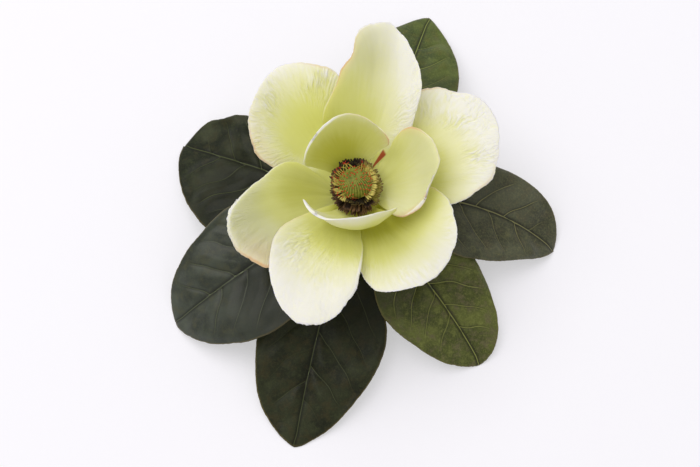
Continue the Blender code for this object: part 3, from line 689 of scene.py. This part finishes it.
def leafRelief(leaf, out, along, toRim, seed):
    # Side veins leave the midrib as y = start + slope x + turn x^2: each point's start, over the spacing,
    # is its vein place, a whole number on a vein. The relief is a furrow on each vein, a rise between and a
    # slow warp.
    sheet = leafSheet
    spacing, slope, turn = leaf["veins"]
    x, y = np.abs(out), along * leaf["length"]
    drift = sheet["wanderSpacing"]
    wander = sheet["veinWander"] * softNoise(out / drift + 40, y / drift + 7, seed + 2) * np.clip(x / 6, 0, 1)
    start = y - slope * x - turn * x ** 2 + wander
    veinPlace = start / spacing + sheet["veinOffset"] * np.sign(out)
    lean = slope + 2 * turn * x
    away = np.abs((veinPlace + 0.5) % 1 - 0.5) * spacing / np.sqrt(1 + lean ** 2)
    strength = 0.62 + 0.38 * softNoise(np.round(veinPlace) * 1.37 + 20, 3.5 + np.sign(out), seed + 3)
    strength = strength * eased(-0.35, 0.1, start / spacing) * (1 - eased(0.72, 0.9, start / leaf["length"]))
    strength = strength * (1 - eased(0.66, 0.96, toRim))
    calm = 1 - eased(0.86, 1.0, toRim)
    relief = sheet["quilting"] * (1 - hump(away, 0, sheet["quiltingReach"])) * strength * eased(0, 8, x)
    furrow = hump(away, 0, sheet["furrowWidth"]) * (1.3 - 0.6 * eased(4, 25, x))
    relief = relief - sheet["furrow"] * strength * furrow
    relief = relief - sheet["midribFurrow"] * hump(out, 0, sheet["midribFurrowWidth"]) * (1 - 0.8 * along)
    (warpAcross, warpAlong), (rippleAcross, rippleAlong) = sheet["warpSpacing"], sheet["rippleSpacing"]
    warp = sheet["warp"] * softNoise(out / warpAcross + 9, y / warpAlong + 3, seed + 1) * eased(0, 9, x)
    ripple = sheet["ripple"] * softNoise(out / rippleAcross + 19, y / rippleAlong + 13, seed + 4)
    relief = relief + (warp + ripple) * calm
    return relief, veinPlace, strength


def leafRib(leaf):
    # The rib under the blade and the stalk it runs on into, one round section carried along them. The rib
    # hangs its own radius under the blade's middle line, and the stalk is a straight taper to the twig's
    # neck.
    sheet = leafSheet
    share = np.linspace(0, 0.95, 24)
    spine = bladeSurface(leaf, sheet, 0 * share, 2 * share - 1)
    radii = sheet["ribBase"] + (sheet["ribTip"] - sheet["ribBase"]) * share
    spine[:, 2] -= radii + sheet["ribSunk"] + sheet["midribFurrow"] * (1 - 0.8 * share)
    heading = math.radians(leaf["azimuth"] - leaf["bend"] / 2)
    rootRadius = sheet["stalkRoot"]
    fall = math.tan(math.radians(leaf["rise"][0])) * (sheet["baseRadius"] - rootRadius)
    root = flowerAxis + (rootRadius * math.cos(heading), rootRadius * math.sin(heading), spine[0, 2] - fall)
    stalk = root + (spine[0] - root) * np.linspace(0, 1, 9)[:-1, None]
    path = np.concatenate([stalk, spine])
    radius = np.concatenate([np.linspace(sheet["stalkRadius"], radii[0], 9)[:-1], radii])[None]
    flow = directionAlong(path)
    side = np.cross(flow, (0, 0, 1.0))
    side /= np.linalg.norm(side, axis=1, keepdims=True)
    lift = np.cross(side, flow)
    return straps(path[None], side[None], lift[None], radius, radius, sheet["ribSides"])[:2]


def makeLeaf(name, leaf, material, seed):
    # The smooth blade, lifted along its normals by the relief, as a closed sheet with its rib and stalk
    sheet = leafSheet
    across, lengthwise = discGrid(sheet["cells"])
    toRim = np.clip(np.sqrt(across ** 2 + lengthwise ** 2), 0, 1)
    along = (lengthwise + 1) / 2
    dented = dentedDisc(across, lengthwise, leaf["dents"], sheet["rimWander"], seed)
    middle = bladeSurface(leaf, sheet, *dented)
    half = np.where(across > 0, curveThrough(leaf["left"], along), curveThrough(leaf["right"], along))
    out = across * half * np.sqrt(np.clip(1 - lengthwise ** 2, 1e-12, 1)) ** (sheet["pointedness"] - 1)
    relief, veinPlace, strength = leafRelief(leaf, out, along, toRim, seed)
    middle = middle + surfaceNormals(middle) * relief[..., None]
    points, faces = closedSheet(middle, surfaceNormals(middle), sheet["thickness"], toRim)

    midrib = out / (sheet["midribBase"] + (sheet["midribTip"] - sheet["midribBase"]) * along)
    midrib = midrib + 2.5 * eased(0.93, 1.0, along)
    # painted shade: the bloom's shadow darkens the blade's foot, more on one side of the midrib
    fadeFrom, fadeTo, footLeft, footRight = leaf["foot"]
    foot = (footRight + (footLeft - footRight) * eased(-8, 8, out)) * (1 - eased(fadeFrom, fadeTo, along))
    # painted highlight: a thin band along the rim of the upper skin
    rim = eased(0.975, 0.99, toRim)
    blade = onBothSkins(np.stack([veinPlace, strength, midrib, 0 * out, rim, foot], axis=-1))
    blade[toRim.size:, 3:5] = (1.0, 0.0)  # the lower skin is all underside, with no painted rim highlight
    ribPoints, ribFaces = leafRib(leaf)
    ribValues = (0.5, 0.0, 9.0, 0.75, 0.0, 0.0)  # away from every vein, and three quarters underside
    rib = np.broadcast_to(ribValues, (len(ribPoints), len(ribValues)))
    points, faces, values = joined([(points, faces, blade), (ribPoints, ribFaces, rib)])
    layers = dict(zip(("veinPlace", "veinStrength", "midrib", "under", "rim", "foot"), values.T))
    addPiece(name.replace("_", "") + "Blade", points, faces, material, name, layers)


for number, (leafName, leaf) in enumerate(leaves.items()):
    seed = leafSheet["firstSeed"] + leafSheet["seedStep"] * number
    makeLeaf(leafName, leaf, leafMaterial(leafName[-1], leaf), seed)
print("leaves made:", len(leaves))


# Stamens

# bright: azimuth and width in mm of the bundles that stand out, filled round with plain ones
# spread: width in mm of the plain bundles; slope: degrees at root and tip; rootZ: lowest and highest root
# fullness: half width of a filament as a share of its place in the bundle; width: the least half width
# black: azimuth, spread and strength of the stretches where the stamens are darker
# longer and raised: azimuth, spread and mm or degrees that the stamens gain there
stamenWhorls = {
    "stamens_brown": dict(
        bundles=36, filaments=5, spread=3.1, rootRadius=7.2, rootZ=(57.0, 62.0), slope=(6, 40),
        length=(8.2, 10.0), width=0.44, thick=0.70, fullness=1.0, seed=41,
        bright=((58, 3.1), (38, 3.1), (17, 3.1), (-4, 3.1), (-25, 3.1), (-43, 3.1)),
        black=((104, 34, 1.0),), raised=(104, 35, 10),
        longer=((104, 30, 2.4), (275, 50, 2.4), (190, 40, -1.8)),
        material="stamenDryBrown", tints=("#30221a", "#7c5d3a", "#a89c4a", "#664c36"),
    ),
    "stamens_yellow": dict(
        bundles=26, filaments=5, spread=2.8, rootRadius=7.2, rootZ=(62.2, 65.0), slope=(14, 44),
        length=(6.6, 7.8), width=0.32, thick=0.38, fullness=0.62, seed=42,
        bright=((27, 4.2), (5, 4.8), (-19, 4.6), (-40, 4.2), (229, 3.2), (203, 3.2), (178, 3.2), (48, 3.2)),
        black=((104, 40, 1.0), (275, 42, 0.75)), raised=(275, 45, 16), longer=((275, 42, 1.2),),
        material="stamenFreshYellow", tints=("#4a3f1e", "#85783a", "#e0d676", "#b49c58"),
    ),
}

# shared by both whorls; the stray numbers are a share of a place or level, degrees, or mm for a length
stamenPlan = dict(
    tipRadius=10.5, rings=7, clear=8, brightLevel=0.85,  # plain bundles stay clear of bright ones by degrees
    place=0.25, level=0.8, lift=6.0, sway=4.0,  # how far bundles stray, and then their filaments
    filamentTurn=0.9, filamentLevel=0.12, filamentLift=1.5, filamentLength=0.25,
    filamentSway=1.2, filamentTone=0.2,
)


def stamenMaterial(name, tints):
    # Stamen: a soft flat filament with its pollen sacs along it, grown. Dry and matte, with a grain of
    # 0.7 mm, coarser than pollen so that it shows.
    dark, light, brightTone, tip = tints
    material, tree, shader = newMaterial(name, {
        "Roughness": 0.72, "IOR": 1.45, "Sheen Weight": 0.04, "Specular IOR Level": 0.25})
    place = addNode(tree, "TexCoord", {}, {}, "Object")
    shown = {layer: addNode(tree, "Attribute", {"attribute_name": layer}, {}, "Fac")
             for layer in ("share", "tone", "bright", "black")}
    grain = addNode(tree, "TexNoise", {}, {"Vector": place, "Scale": 1 / (0.7 * mm), "Detail": 3.0})
    colour = layColours(tree, dark, (
        (shown["tone"], 0.2, 1.0, light, 1.0),
        (shown["bright"], 0.0, 1.0, brightTone, 1.0),
        (shown["share"], 0.78, 1.0, tip, 0.8),
        (grain, 0.48, 0.75, dark, 0.45),
        (shown["black"], 0.0, 1.0, "#1a130d", 0.92),
    ))
    bump = addNode(tree, "Bump", {}, {"Strength": 0.6, "Distance": 0.15 * mm, "Height": grain}, "Normal")
    setInputs(tree, shader, {"Base Color": colour, "Normal": bump})
    return material


def curvedStraps(azimuth, rootRadius, rootZ, slope, length, width, thick, rings, sway):
    # Each strap leaves the root circle. Its slope passes evenly from the first value to the second along its
    # length, and its azimuth turns by the sway times the square of the way along. It widens from 0.62 of its
    # width and closes to half of it in the last tenth.
    share = np.linspace(0, 1, rings)[None]
    angle = np.radians(slope[0][:, None] + (slope[1] - slope[0])[:, None] * share)
    step = length[:, None] / (rings - 1)
    out = np.reshape(rootRadius, (-1, 1)) + np.cumsum(np.cos(angle) * step, axis=1) - np.cos(angle) * step
    high = rootZ[:, None] + np.cumsum(np.sin(angle) * step, axis=1) - np.sin(angle) * step
    turn = np.radians(azimuth[:, None] + np.reshape(sway, (-1, 1)) * share ** 2)
    centres = np.stack([out * np.cos(turn), out * np.sin(turn), high], axis=-1) + flowerAxis
    _, widthAxis, thickAxis = axesAlong(angle, turn)
    body = (0.62 + 0.38 * share) * np.sqrt(1 - 0.75 * share ** 10) + 0 * out
    return straps(centres, widthAxis, thickAxis, np.reshape(width, (-1, 1)) * body, thick * body, 6)


def makeStamens(name, whorl, material):
    # Filaments lie side by side in flat bundles. A bundle shares its azimuth, root, slope and tone, and plain
    # bundles fill the circle between the bright ones.
    plan = stamenPlan
    rng = np.random.default_rng(whorl["seed"])
    bright = np.array(whorl["bright"], float)
    bundles, filaments = whorl["bundles"], whorl["filaments"]
    plain = 360 * (np.arange(bundles) + rng.uniform(-plan["place"], plan["place"], bundles)) / bundles
    gap = np.abs((plain[:, None] - bright[None, :, 0] + 180) % 360 - 180)
    plain = plain[(gap > plan["clear"]).all(axis=1)]
    around = np.concatenate([plain, bright[:, 0]])
    count = len(around)
    isBright = np.repeat([0.0, 1.0], [len(plain), len(bright)])
    spread = np.concatenate([np.full(len(plain), whorl["spread"]), bright[:, 1]])
    level = np.where(isBright > 0, plan["brightLevel"], rng.uniform(0, plan["level"], count))
    middle, reach, more = whorl["raised"]
    lift = rng.normal(0, plan["lift"], count) + more * bellRound(around, middle, reach)
    gain = sum(more * bellRound(around, middle, reach) for middle, reach, more in whorl["longer"])
    tone = rng.uniform(0, 1, count)
    darkerShare = sum(strength * bellRound(around, middle, reach) for middle, reach, strength in whorl["black"])
    darkerShare = darkerShare * (1 - isBright)

    each = np.repeat(np.arange(count), filaments)
    total = len(each)
    beside = np.tile(np.arange(filaments) / (filaments - 1) - 0.5, count) * spread[each]
    azimuth = around[each] + np.degrees(beside / plan["tipRadius"])
    azimuth = azimuth + rng.normal(0, plan["filamentTurn"], total)
    low, high = whorl["rootZ"]
    rootZ = low + (high - low) * (level[each] + rng.uniform(0, plan["filamentLevel"], total))
    slope = [angle + lift[each] + rng.normal(0, plan["filamentLift"], total) for angle in whorl["slope"]]
    length = (rng.uniform(*whorl["length"], count) + gain)[each]
    length = length + rng.normal(0, plan["filamentLength"], total)
    width = np.maximum(whorl["width"], whorl["fullness"] * spread[each] / (filaments - 1))
    sway = rng.normal(0, plan["sway"], count)[each] + rng.normal(0, plan["filamentSway"], total)
    points, faces, share = curvedStraps(
        azimuth, whorl["rootRadius"], rootZ, slope, length, width, whorl["thick"], plan["rings"], sway)
    corners = len(points) // total
    tone = tone[each] + rng.normal(0, plan["filamentTone"], total)
    addPiece(name.replace("_", "") + "Bundles", points, faces, material, name, {
        "share": share, "tone": np.repeat(tone, corners), "bright": np.repeat(isBright[each], corners),
        "black": np.repeat(darkerShare[each], corners),
    })


for whorlName, whorl in stamenWhorls.items():
    makeStamens(whorlName, whorl, stamenMaterial(whorl["material"], whorl["tints"]))
print("stamens made")


# Carpels

carpelDome = dict(
    radius=9.5, height=8.3, baseZ=66.5, rings=90, around=192, ribs=34, ribDepth=0.13, swirl=0.25,
    leanTo=128, lean=22,  # the ribs meet at a point that lies this far off the top, in degrees
    dotRows=(0.12, 0.40, 0.72, 1.04, 1.36),  # radians from where the ribs meet
    dotSize=0.40, dotLength=(1.2, 1.9), dotsKept=0.62, dotStagger=0.17, dotStray=0.04,
    dotSunk=(0.3, 0.4),  # mm inwards and down
    hooks=52, hookRoot=8.0, hookLength=(4.6, 7.6), hookLevel=(-0.6, 2.0), hookWidth=0.31, seed=51,
    hookStray=0.3, hookSway=22,
    hookSlope=(5, 45), hookDrop=(-30, 80),  # slope at the root, and how much less it is at the tip
    bare=((280, 60, 1.0), (0, 45, 0.9)),  # azimuth, spread and strength of stretches with few, short hooks
    bareLost=0.75, bareShorter=0.6,
)


def carpelMaterial():
    # Magnolia carpels: packed, green, grown and faintly downy. Styles are yellow-green and turn red at their
    # hooked tips. Clouds are 3 mm wide and the grain 0.8 mm, coarser than the down so that it shows. The ribs'
    # crests carry a painted highlight.
    material, tree, shader = newMaterial("magnoliaCarpelDowny", {
        "Roughness": 0.6, "IOR": 1.42, "Sheen Weight": 0.06, "Sheen Roughness": 0.4, "Subsurface Weight": 0.1,
        "Subsurface Scale": 0.001, "Specular IOR Level": 0.3,
    })
    place = addNode(tree, "TexCoord", {}, {}, "Object")
    shown = {layer: addNode(tree, "Attribute", {"attribute_name": layer}, {}, "Fac")
             for layer in ("ridge", "style", "stigma")}
    clouds = addNode(tree, "TexNoise", {}, {"Vector": place, "Scale": 1 / (3 * mm), "Detail": 2.0})
    grain = addNode(tree, "TexNoise", {}, {"Vector": place, "Scale": 1 / (0.8 * mm), "Detail": 3.0})
    colour = layColours(tree, "#60681f", (
        (clouds, 0.35, 0.65, "#7c7f30", 1.0),
        # painted highlight on the ribs' crests
        (shown["ridge"], 0.75, 1.0, "#c6c060", 0.5),
        (grain, 0.50, 0.75, "#435020", 0.40),
        (shown["style"], 0.0, 1.0, "#c3b852", 1.0),
        (shown["stigma"], 0.0, 1.0, "#c8321f", 1.0),
    ))
    bump = addNode(tree, "Bump", {}, {"Strength": 0.5, "Distance": 0.2 * mm, "Height": grain}, "Normal")
    setInputs(tree, shader, {"Base Color": colour, "Normal": bump})
    return material


def onDome(dome, fromPole, turn, swell):
    # A direction from the leaning pole laid on the half ellipsoid, and pressed flat below its rim
    lean, leanTo = math.radians(dome["lean"]), math.radians(dome["leanTo"])
    ahead, sideways = np.sin(fromPole) * np.cos(turn), np.sin(fromPole) * np.sin(turn)
    above = np.cos(fromPole)
    forward = ahead * math.cos(lean) + above * math.sin(lean)
    up = above * math.cos(lean) - ahead * math.sin(lean)
    x = (dome["radius"] + swell) * (forward * math.cos(leanTo) - sideways * math.sin(leanTo))
    y = (dome["radius"] + swell) * (forward * math.sin(leanTo) + sideways * math.cos(leanTo))
    z = dome["baseZ"] + (dome["height"] + swell) * np.clip(up, 0, 1)
    return np.stack([x, y, z], axis=-1)


def domeShell(dome):
    # A closed grid of rings round the leaning pole, ribbed by a cosine of the turn that fades near the pole
    fromPole = np.linspace(0, math.pi, dome["rings"] + 2)[1:-1, None]
    turn = np.linspace(0, 2 * math.pi, dome["around"], endpoint=False)[None]
    ridge = np.abs(np.cos(dome["ribs"] / 2 * (turn + dome["swirl"] * fromPole)))
    shell = onDome(dome, fromPole, turn, dome["ribDepth"] * (ridge - 0.6) * np.sin(fromPole) ** 1.2)
    poles = onDome(dome, np.array([0.0, math.pi]), np.zeros(2), np.zeros(2))
    points = np.concatenate([shell.reshape(-1, 3), poles]) + flowerAxis
    index = np.arange(dome["rings"] * dome["around"]).reshape(dome["rings"], dome["around"])
    after = np.roll(index, -1, axis=1)
    top, bottom = np.full(dome["around"], index.size), np.full(dome["around"], index.size + 1)
    skin = np.stack([index[:-1], index[1:], after[1:], after[:-1]], axis=-1).reshape(-1, 4)
    crown = np.stack([top, index[0], after[0]], axis=-1)
    foot = np.stack([bottom, after[-1], index[-1]], axis=-1)
    # painted highlight: the ribs' crests, fading towards the pole, with the top pole lit too
    paintedRidgeHighlight = np.concatenate([(ridge * np.clip(np.sin(fromPole) * 3, 0, 1)).ravel(), [0.8, 0.0]])
    return points, [skin, crown, foot], np.stack([paintedRidgeHighlight, 0 * paintedRidgeHighlight, 0 * paintedRidgeHighlight], axis=-1)


def redTipped(strands, low, high):  # green style up to the low share of the length, red past the high one
    points, faces, share = strands
    stigma = eased(low, high, share)
    return points, faces, np.stack([0 * share, 1 - stigma, stigma], axis=-1)


def makeCarpels(dome, material):
    # Red stigmas stand in rows on the ribs, staggered from rib to rib and square to the dome, and long styles
    # hook out from its edge
    rng = np.random.default_rng(dome["seed"])
    row, rib = [grid.ravel() for grid in np.meshgrid(dome["dotRows"], np.arange(dome["ribs"]), indexing="ij")]
    kept = ((row > 0.6) | (rib % 3 == 0)) & (rng.uniform(0, 1, len(row)) < dome["dotsKept"])
    row, rib = row[kept], rib[kept]
    row = row + dome["dotStagger"] * (rib % 2) + rng.normal(0, dome["dotStray"], len(row))
    spots = onDome(dome, row, 2 * math.pi * rib / dome["ribs"] - dome["swirl"] * row, 0 * row)
    x, y, z = spots[spots[:, 2] > dome["baseZ"] + 0.6].T
    radius = np.hypot(x, y)
    lean = np.degrees(np.arctan2(radius, z - dome["baseZ"]))
    inwards, down = dome["dotSunk"]
    dots = curvedStraps(
        np.degrees(np.arctan2(y, x)), radius - inwards, z - down, [80 - lean * 0.8, 20 - lean],
        rng.uniform(*dome["dotLength"], len(x)), dome["dotSize"], dome["dotSize"] * 0.7, 6, 0.0)

    count = dome["hooks"]
    azimuth = 360 * (np.arange(count) + rng.uniform(-dome["hookStray"], dome["hookStray"], count)) / count
    bare = sum(strength * bellRound(azimuth, middle, reach) for middle, reach, strength in dome["bare"])
    stays = rng.uniform(0, 1, count) > dome["bareLost"] * bare
    azimuth, bare, count = azimuth[stays], bare[stays], int(stays.sum())
    length = rng.uniform(*dome["hookLength"], count) * (1 - dome["bareShorter"] * np.clip(bare, 0, 1))
    level = rng.uniform(*dome["hookLevel"], count)
    first = rng.uniform(*dome["hookSlope"], count)
    slope = [first, first - rng.uniform(*dome["hookDrop"], count)]
    hooks = curvedStraps(
        azimuth, dome["hookRoot"] - 0.3 * np.clip(level, 0, 2), dome["baseZ"] + 0.4 + level, slope, length,
        dome["hookWidth"], dome["hookWidth"] * 0.8, 8, rng.normal(0, dome["hookSway"], count))
    points, faces, values = joined([
        domeShell(dome), redTipped(dots, 0.35, 0.5), redTipped(hooks, 0.74, 0.84)])
    addPiece("carpelDomeStyles", points, faces, material, "carpels",
             dict(zip(("ridge", "style", "stigma"), values.T)))


makeCarpels(carpelDome, carpelMaterial())
print("carpels made")


# Twig

twig = dict(
    receptacleRadius=6.5, receptacleTop=66.2, receptacleBottom=44.5, radius=4.6, cutRadius=4.2,
    neckBottom=41.0, bendStart=23.4, bendRadius=19.0, reach=70.0, direction=262.0, sides=48, barkDepth=0.12,
)


def twigMaterial():
    # Magnolia twig: young bark, grown, dull grey-brown with pale corky pores 3 mm apart and a grain of
    # 1.4 mm, coarser than the bark's own so that it shows. The cut end shows pale wood.
    material, tree, shader = newMaterial("magnoliaTwigBark", {"Roughness": 0.8, "IOR": 1.45})
    place = addNode(tree, "TexCoord", {}, {}, "Object")
    shown = {layer: addNode(tree, "Attribute", {"attribute_name": layer}, {}, "Fac")
             for layer in ("green", "cut")}
    clouds = addNode(tree, "TexNoise", {}, {"Vector": place, "Scale": 1 / (6 * mm), "Detail": 5.0})
    pores = addNode(tree, "TexVoronoi", {}, {"Vector": place, "Scale": 1 / (3 * mm)}, "Distance")
    grain = addNode(tree, "TexNoise", {}, {
        "Vector": place, "Scale": 1 / (1.4 * mm), "Detail": 5.0, "Roughness": 0.6})
    colour = layColours(tree, "#5a4a38", (
        (clouds, 0.35, 0.65, "#7b6a52", 1.0),
        (pores, 0.16, 0.08, "#a89a80", 0.7),
        (grain, 0.50, 0.70, "#4a3c2c", 0.4),
        (shown["green"], 0.0, 1.0, "#7a8048", 1.0),
        (shown["cut"], 0.0, 1.0, "#cdb98c", 1.0),
    ))
    bump = addNode(tree, "Bump", {}, {"Strength": 0.6, "Distance": 0.3 * mm, "Height": grain}, "Normal")
    setInputs(tree, shader, {"Base Color": colour, "Normal": bump})
    return material


def makeTwig(shape, material):
    # A round section carried ring by ring down the receptacle (0 to 7) and the neck (11 to 21), round a
    # quarter bend (22 to 36) and along the floor, sunk a little and roughened by value noise. Green fades
    # down the neck.
    ring, last = np.arange(76), 75
    turn = np.radians(np.interp(ring, (22, 36), (0, 90)))
    out = shape["bendRadius"] * (1 - np.cos(turn))
    out = out + np.interp(ring, (36, last), (0, shape["reach"] - shape["bendRadius"]))
    heights = [shape[key] for key in ("receptacleTop", "receptacleBottom", "neckBottom", "bendStart")]
    high = np.interp(ring, (0, 7, 11, 21), heights) - shape["bendRadius"] * np.sin(turn)
    radii = [shape[key] for key in ("receptacleRadius", "radius", "radius", "cutRadius")]
    radius = np.interp(ring, (7, 11, 22, 36), radii)
    heading = math.radians(shape["direction"])
    path = np.stack([out * math.cos(heading), out * math.sin(heading), high], axis=-1) + flowerAxis
    side = np.broadcast_to([-math.sin(heading), math.cos(heading), 0.0], path.shape)
    lift = np.cross(side, directionAlong(path))
    sides = shape["sides"]
    points, faces, _ = straps(path[None], side[None], lift[None], radius[None], radius[None], sides)
    outward = (points - np.repeat(path, sides, axis=0)) / np.repeat(radius, sides)[:, None]
    ring, spoke = np.divmod(np.arange(len(points)), sides)
    around = np.minimum(spoke, sides - spoke) / 4.0
    rough = softNoise(ring / 2.0, around, 61) * np.clip((last - ring) / 3, 0, 1)
    points = points - outward * (shape["barkDepth"] * (1 + rough))[:, None]
    green, cut = 1 - eased(8, 26, ring.astype(float)), (ring == last).astype(float)
    addPiece("twigBark", points, faces, material, "twig", {"green": green, "cut": cut})


makeTwig(twig, twigMaterial())
print("twig made")


# Floor, light and camera

studio = dict(
    target=(-3.0, -20.5, 35.0), elevation=72.0, distance=1000.0,  # mm from the flower's axis, degrees and mm
    focalPixels=1666.7, imageWidth=700.0,
    floorSize=4.0, floorColour="#c7c6ce", floorGlow=0.42, skyColour="#fbf9f5", skyStrength=0.62,
    keyPlace=(-1.0, 0.9, 2.4), keySize=2.6, keyPower=41.5, keyColour="#fffdfa", sensor=36.0,
)


def makeFloor():  # a wide pale sheet of paper that glows a little, for the bloom to lie on
    half = studio["floorSize"] / 2
    mesh = bpy.data.meshes.new("paperFloor")
    corners = [(-half, -half, 0), (half, -half, 0), (half, half, 0), (-half, half, 0)]
    mesh.from_pydata(corners, [], [(0, 1, 2, 3)])
    material, _, _ = newMaterial("litPaper", {
        "Roughness": 0.9, "Base Color": studio["floorColour"], "Emission Color": "#fdfcff",
        "Emission Strength": studio["floorGlow"],
    })
    mesh.materials.append(material)
    floor = bpy.data.objects.new("paperFloor", mesh)
    bpy.context.scene.collection.objects.link(floor)


def makeLights():  # an even pale sky and one large soft box from the upper left
    world = bpy.data.worlds.new("paleStudio")
    world.use_nodes = True
    sky = world.node_tree.nodes["Background"]
    setInputs(world.node_tree, sky, {"Color": studio["skyColour"], "Strength": studio["skyStrength"]})
    bpy.context.scene.world = world
    lamp = bpy.data.lights.new("softBox", "AREA")
    lamp.shape = "SQUARE"
    lamp.size = studio["keySize"]
    lamp.energy = studio["keyPower"]
    lamp.color = srgb(studio["keyColour"])[:3]
    box = bpy.data.objects.new("softBox", lamp)
    box.location = studio["keyPlace"]
    box.rotation_euler = (-Vector(studio["keyPlace"])).to_track_quat("-Z", "Y").to_euler()
    bpy.context.scene.collection.objects.link(box)


def makeCamera():  # looks down on the bloom at the photograph's angle
    lens = bpy.data.cameras.new("camera")
    lens.sensor_width = studio["sensor"]
    lens.lens = studio["focalPixels"] * lens.sensor_width / studio["imageWidth"]
    camera = bpy.data.objects.new("camera", lens)
    up = math.radians(studio["elevation"])
    target = (np.array(studio["target"]) + flowerAxis) * mm
    camera.location = target + studio["distance"] * mm * np.array([0, -math.cos(up), math.sin(up)])
    camera.rotation_euler = (math.pi / 2 - up, 0, 0)
    bpy.context.scene.collection.objects.link(camera)
    bpy.context.scene.camera = camera


makeFloor()
makeLights()
makeCamera()
bpy.context.scene.view_settings.view_transform = "Standard"
print("floor, light and camera set")
